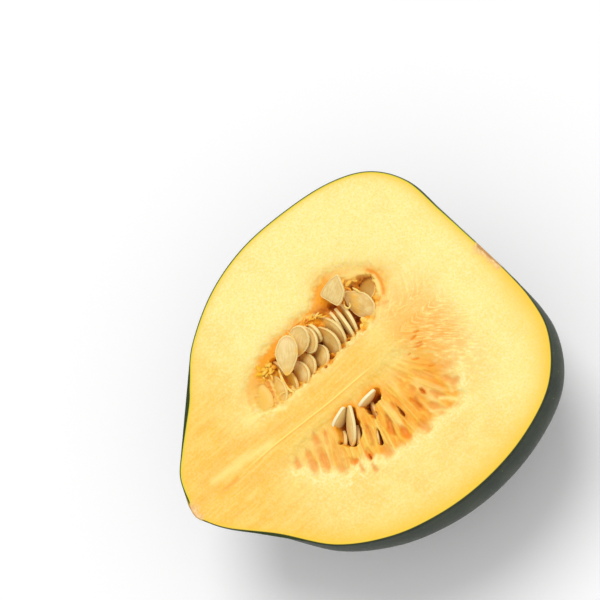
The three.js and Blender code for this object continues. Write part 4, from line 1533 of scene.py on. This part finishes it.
class Pulp:
    """Strands and lumps of pulp gathered into one mesh, each with its own tint."""

    def __init__(self):
        self.vertices, self.faces, self.tints = [], [], []
        self.count = 0

    def rings(self, rings, tint):
        """A closed shape given as rings of points with a single point at each end."""
        middle = np.array(rings[1:-1])
        steps, sides = middle.shape[:2]
        start = self.count
        end = start + 1 + steps * sides
        numbers = np.arange(start + 1, end).reshape(steps, sides).tolist()
        self.vertices += [[rings[0]], middle.reshape(-1, 3), [rings[-1]]]
        for j in range(sides):
            k = (j + 1) % sides
            self.faces.append([start, numbers[0][k], numbers[0][j]])
            self.faces.append([end, numbers[-1][j], numbers[-1][k]])
            for ring, following in zip(numbers, numbers[1:]):
                self.faces.append([ring[j], ring[k], following[k], following[j]])
        self.tints += [tint] * (steps * sides + 2)
        self.count = end + 1

    def blade(self, path, width, thickness, tint):
        """A flattened strand along a path, tapered to both ends."""
        ahead = np.gradient(path, axis=0)
        ahead /= np.linalg.norm(ahead, axis=1, keepdims=True) + BARELY
        side = np.cross([0, 0, 1], ahead)
        side /= np.linalg.norm(side, axis=1, keepdims=True) + BARELY
        lift = np.cross(ahead, side)
        angles = np.linspace(0, 2 * np.pi, BLADE_SIDES, endpoint=False)
        taper = np.sin(np.pi * np.linspace(0, 1, len(path))) ** BLADE_TAPER
        rings = [path[0]]
        for k in range(1, len(path) - 1):
            out = np.cos(angles)[:, None] * side[k] * width / 2
            rise = np.sin(angles)[:, None] * lift[k] * thickness / 2
            rings.append(path[k] + taper[k] * (out + rise))
        rings.append(path[-1])
        self.rings(rings, tint)

    def lump(self, middle, size, heading, tint, rng):
        """A rounded scrap of tissue, uneven all round: size is its length, width and thickness."""
        turn = math.radians(heading)
        angles = np.linspace(0, 2 * np.pi, LUMP_SIDES, endpoint=False)
        uneven = 1 + LUMP_UNEVENNESS * rng.standard_normal(LUMP_SIDES)
        uneven = (uneven + np.roll(uneven, 1) + np.roll(uneven, -1)) / 3
        rings = []
        for level in np.linspace(-1, 1, LUMP_STEPS):
            girth = math.sqrt(max(0, 1 - level * level))
            along = girth * uneven * np.cos(angles) * size[0] / 2
            across = girth * uneven * np.sin(angles) * size[1] / 2
            x = along * math.cos(turn) - across * math.sin(turn)
            y = along * math.sin(turn) + across * math.cos(turn)
            crumple = girth * rough.centred(x + middle[0], y + middle[1], LUMP_CRUMPLE_SIZE)
            z = size[2] * (LUMP_CRUMPLE * crumple - level / 2)
            rings.append(np.array(middle) + np.column_stack([x, y, z]))
        rings[0] = rings[0][0]
        rings[-1] = rings[-1][0]
        self.rings(rings[::-1], tint)

    def piece(self, name, material):
        piece = add_mesh(name, to_row(np.concatenate(self.vertices)), self.faces, [material])
        set_attribute(piece.data, "tint", self.tints)
        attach(piece, "root")


def torn_fibre(start, heading, length, bow, rng):
    """A path over the cut face from a place, bowed and a little crooked: x, y."""
    share = np.linspace(0, 1, BLADE_STEPS)
    turn = math.radians(heading)
    ahead = length * np.array([math.cos(turn), math.sin(turn)])
    side = np.array([-math.sin(turn), math.cos(turn)])
    knots = rng.uniform(-1, 1, CROOKED_KNOTS)
    crook = CROOKEDNESS * length * np.interp(share, np.linspace(0, 1, CROOKED_KNOTS), knots)
    off = (bow + crook) * np.sin(np.pi * share)
    return start + share[:, None] * ahead + off[:, None] * side


def arched(path, height, arch):
    """The path with a height at each of its points, rising and falling again."""
    return np.column_stack([path, height + arch * np.sin(np.pi * np.linspace(ARCH_START, 1, BLADE_STEPS))])


def tuft(pulp, rng):
    """The bright tuft of torn flakes and fibres at the tip end of the upper bed."""
    for _ in range(TUFT_FIBRES):
        start = np.array(TUFT) + rng.normal(0, TUFT_SCATTER, 2)
        height = rng.uniform(*FIBRE_HEIGHTS)
        heading = rng.uniform(0, 360)
        tint = rng.uniform(*TUFT_TINTS)
        path = torn_fibre(start, heading, rng.uniform(*TUFT_LENGTHS), rng.uniform(*TUFT_BOWS), rng)
        pulp.blade(arched(path, height, TUFT_ARCH), rng.uniform(*TUFT_WIDTHS), TUFT_THICKNESS, tint)


def fringe(pulp, rng):
    """Short torn fibres on the far bank of the upper bed, leaning towards the stem."""
    for _ in range(FRINGE_FIBRES):
        start = lerp(*np.array(FRINGE), rng.uniform(0, 1)) + rng.normal(0, FRINGE_SCATTER, 2)
        heading = rng.uniform(*FRINGE_HEADINGS)
        path = torn_fibre(start, heading, rng.uniform(*FRINGE_LENGTHS), rng.uniform(*FRINGE_BOWS), rng)
        path = arched(path, rng.uniform(*FIBRE_HEIGHTS), FRINGE_ARCH)
        pulp.blade(path, rng.uniform(*FRINGE_WIDTHS), FRINGE_THICKNESS, rng.uniform(*FRINGE_TINTS))


def upper_pulp(material):
    rng = np.random.default_rng(PULP_SEED)
    pulp = Pulp()
    for points, width, thickness, tint in STRANDS:
        places = np.linspace(0, len(points) - 1, BLADE_STEPS)
        pulp.blade(through(points, places), width, thickness, tint)
    for x, y, z, length, width, thickness, heading, tint in LUMPS:
        pulp.lump((x, y, z), (length, width, thickness), heading, tint, rng)
    tuft(pulp, rng)
    fringe(pulp, rng)
    pulp.piece("upper_pulp", material)


# ---- Stage ----
CAMERA_AIM = (82.5, 37, 0)
CAMERA_DISTANCE = 912.0
CAMERA_TILT = 20.0  # degrees from straight down
CAMERA_TURN = 8.0
CAMERA_ROLL = 41.4
LENS = 140.3
SENSOR_WIDTH = 36
NEAREST_SEEN = 0.01  # metres
FLOOR_REACH = 3.0  # metres from the middle
ROOM_LIGHT = 0.68
KEY_LIGHT = 1.24
KEY_SPREAD = 30.0  # degrees: wide, so that shadows are soft
KEY_DIRECTION = (-0.2, -0.42, -1)


def camera():
    """Looks down on the cut face from its -Y side, with the stem end up and to the right."""
    tilt, turn, roll = (math.radians(a) for a in (CAMERA_TILT, CAMERA_TURN, CAMERA_ROLL))
    back = Vector((math.sin(tilt) * math.sin(turn), -math.sin(tilt) * math.cos(turn), math.cos(tilt)))
    along = (Vector((1, 0, 0)) - back.x * back).normalized()
    across = back.cross(along)
    right = math.cos(roll) * along - math.sin(roll) * across
    up = back.cross(right)
    place = Vector(to_row(CAMERA_AIM)) + CAMERA_DISTANCE * MM * back
    matrix = Matrix((right, up, back)).transposed().to_4x4()
    matrix.translation = place
    data = bpy.data.cameras.new("camera")
    data.lens = LENS
    data.sensor_width = SENSOR_WIDTH
    data.clip_start = NEAREST_SEEN
    piece = bpy.data.objects.new("camera", data)
    piece.matrix_world = matrix
    bpy.context.scene.collection.objects.link(piece)
    bpy.context.scene.camera = piece


def floor():
    corners = [(FLOOR_REACH * x, FLOOR_REACH * y, 0) for x, y in ((-1, -1), (1, -1), (1, 1), (-1, 1))]
    m = Material("studio floor")
    material = m.finish(Base_Color=linear(WHITE), Roughness=0.9, Specular_IOR_Level=0.1)
    add_mesh("floor", corners, [(0, 1, 2, 3)], [material], smooth=False)


def lights():
    """An even white room, with a broad soft key from above the +Y side."""
    world = bpy.data.worlds.new("studio")
    world.use_nodes = True
    background = world.node_tree.nodes["Background"]
    background.inputs["Color"].default_value = (1, 1, 1, 1)
    background.inputs["Strength"].default_value = ROOM_LIGHT
    bpy.context.scene.world = world
    data = bpy.data.lights.new("key", "SUN")
    data.energy = KEY_LIGHT
    data.angle = math.radians(KEY_SPREAD)
    key = bpy.data.objects.new("key", data)
    key.matrix_world = Vector(KEY_DIRECTION).to_track_quat("-Z", "Y").to_matrix().to_4x4()
    bpy.context.scene.collection.objects.link(key)
    bpy.context.scene.view_settings.view_transform = "Standard"


camera()
lights()
floor()
squash_half()
seeds()
upper_pulp(pulp_material())
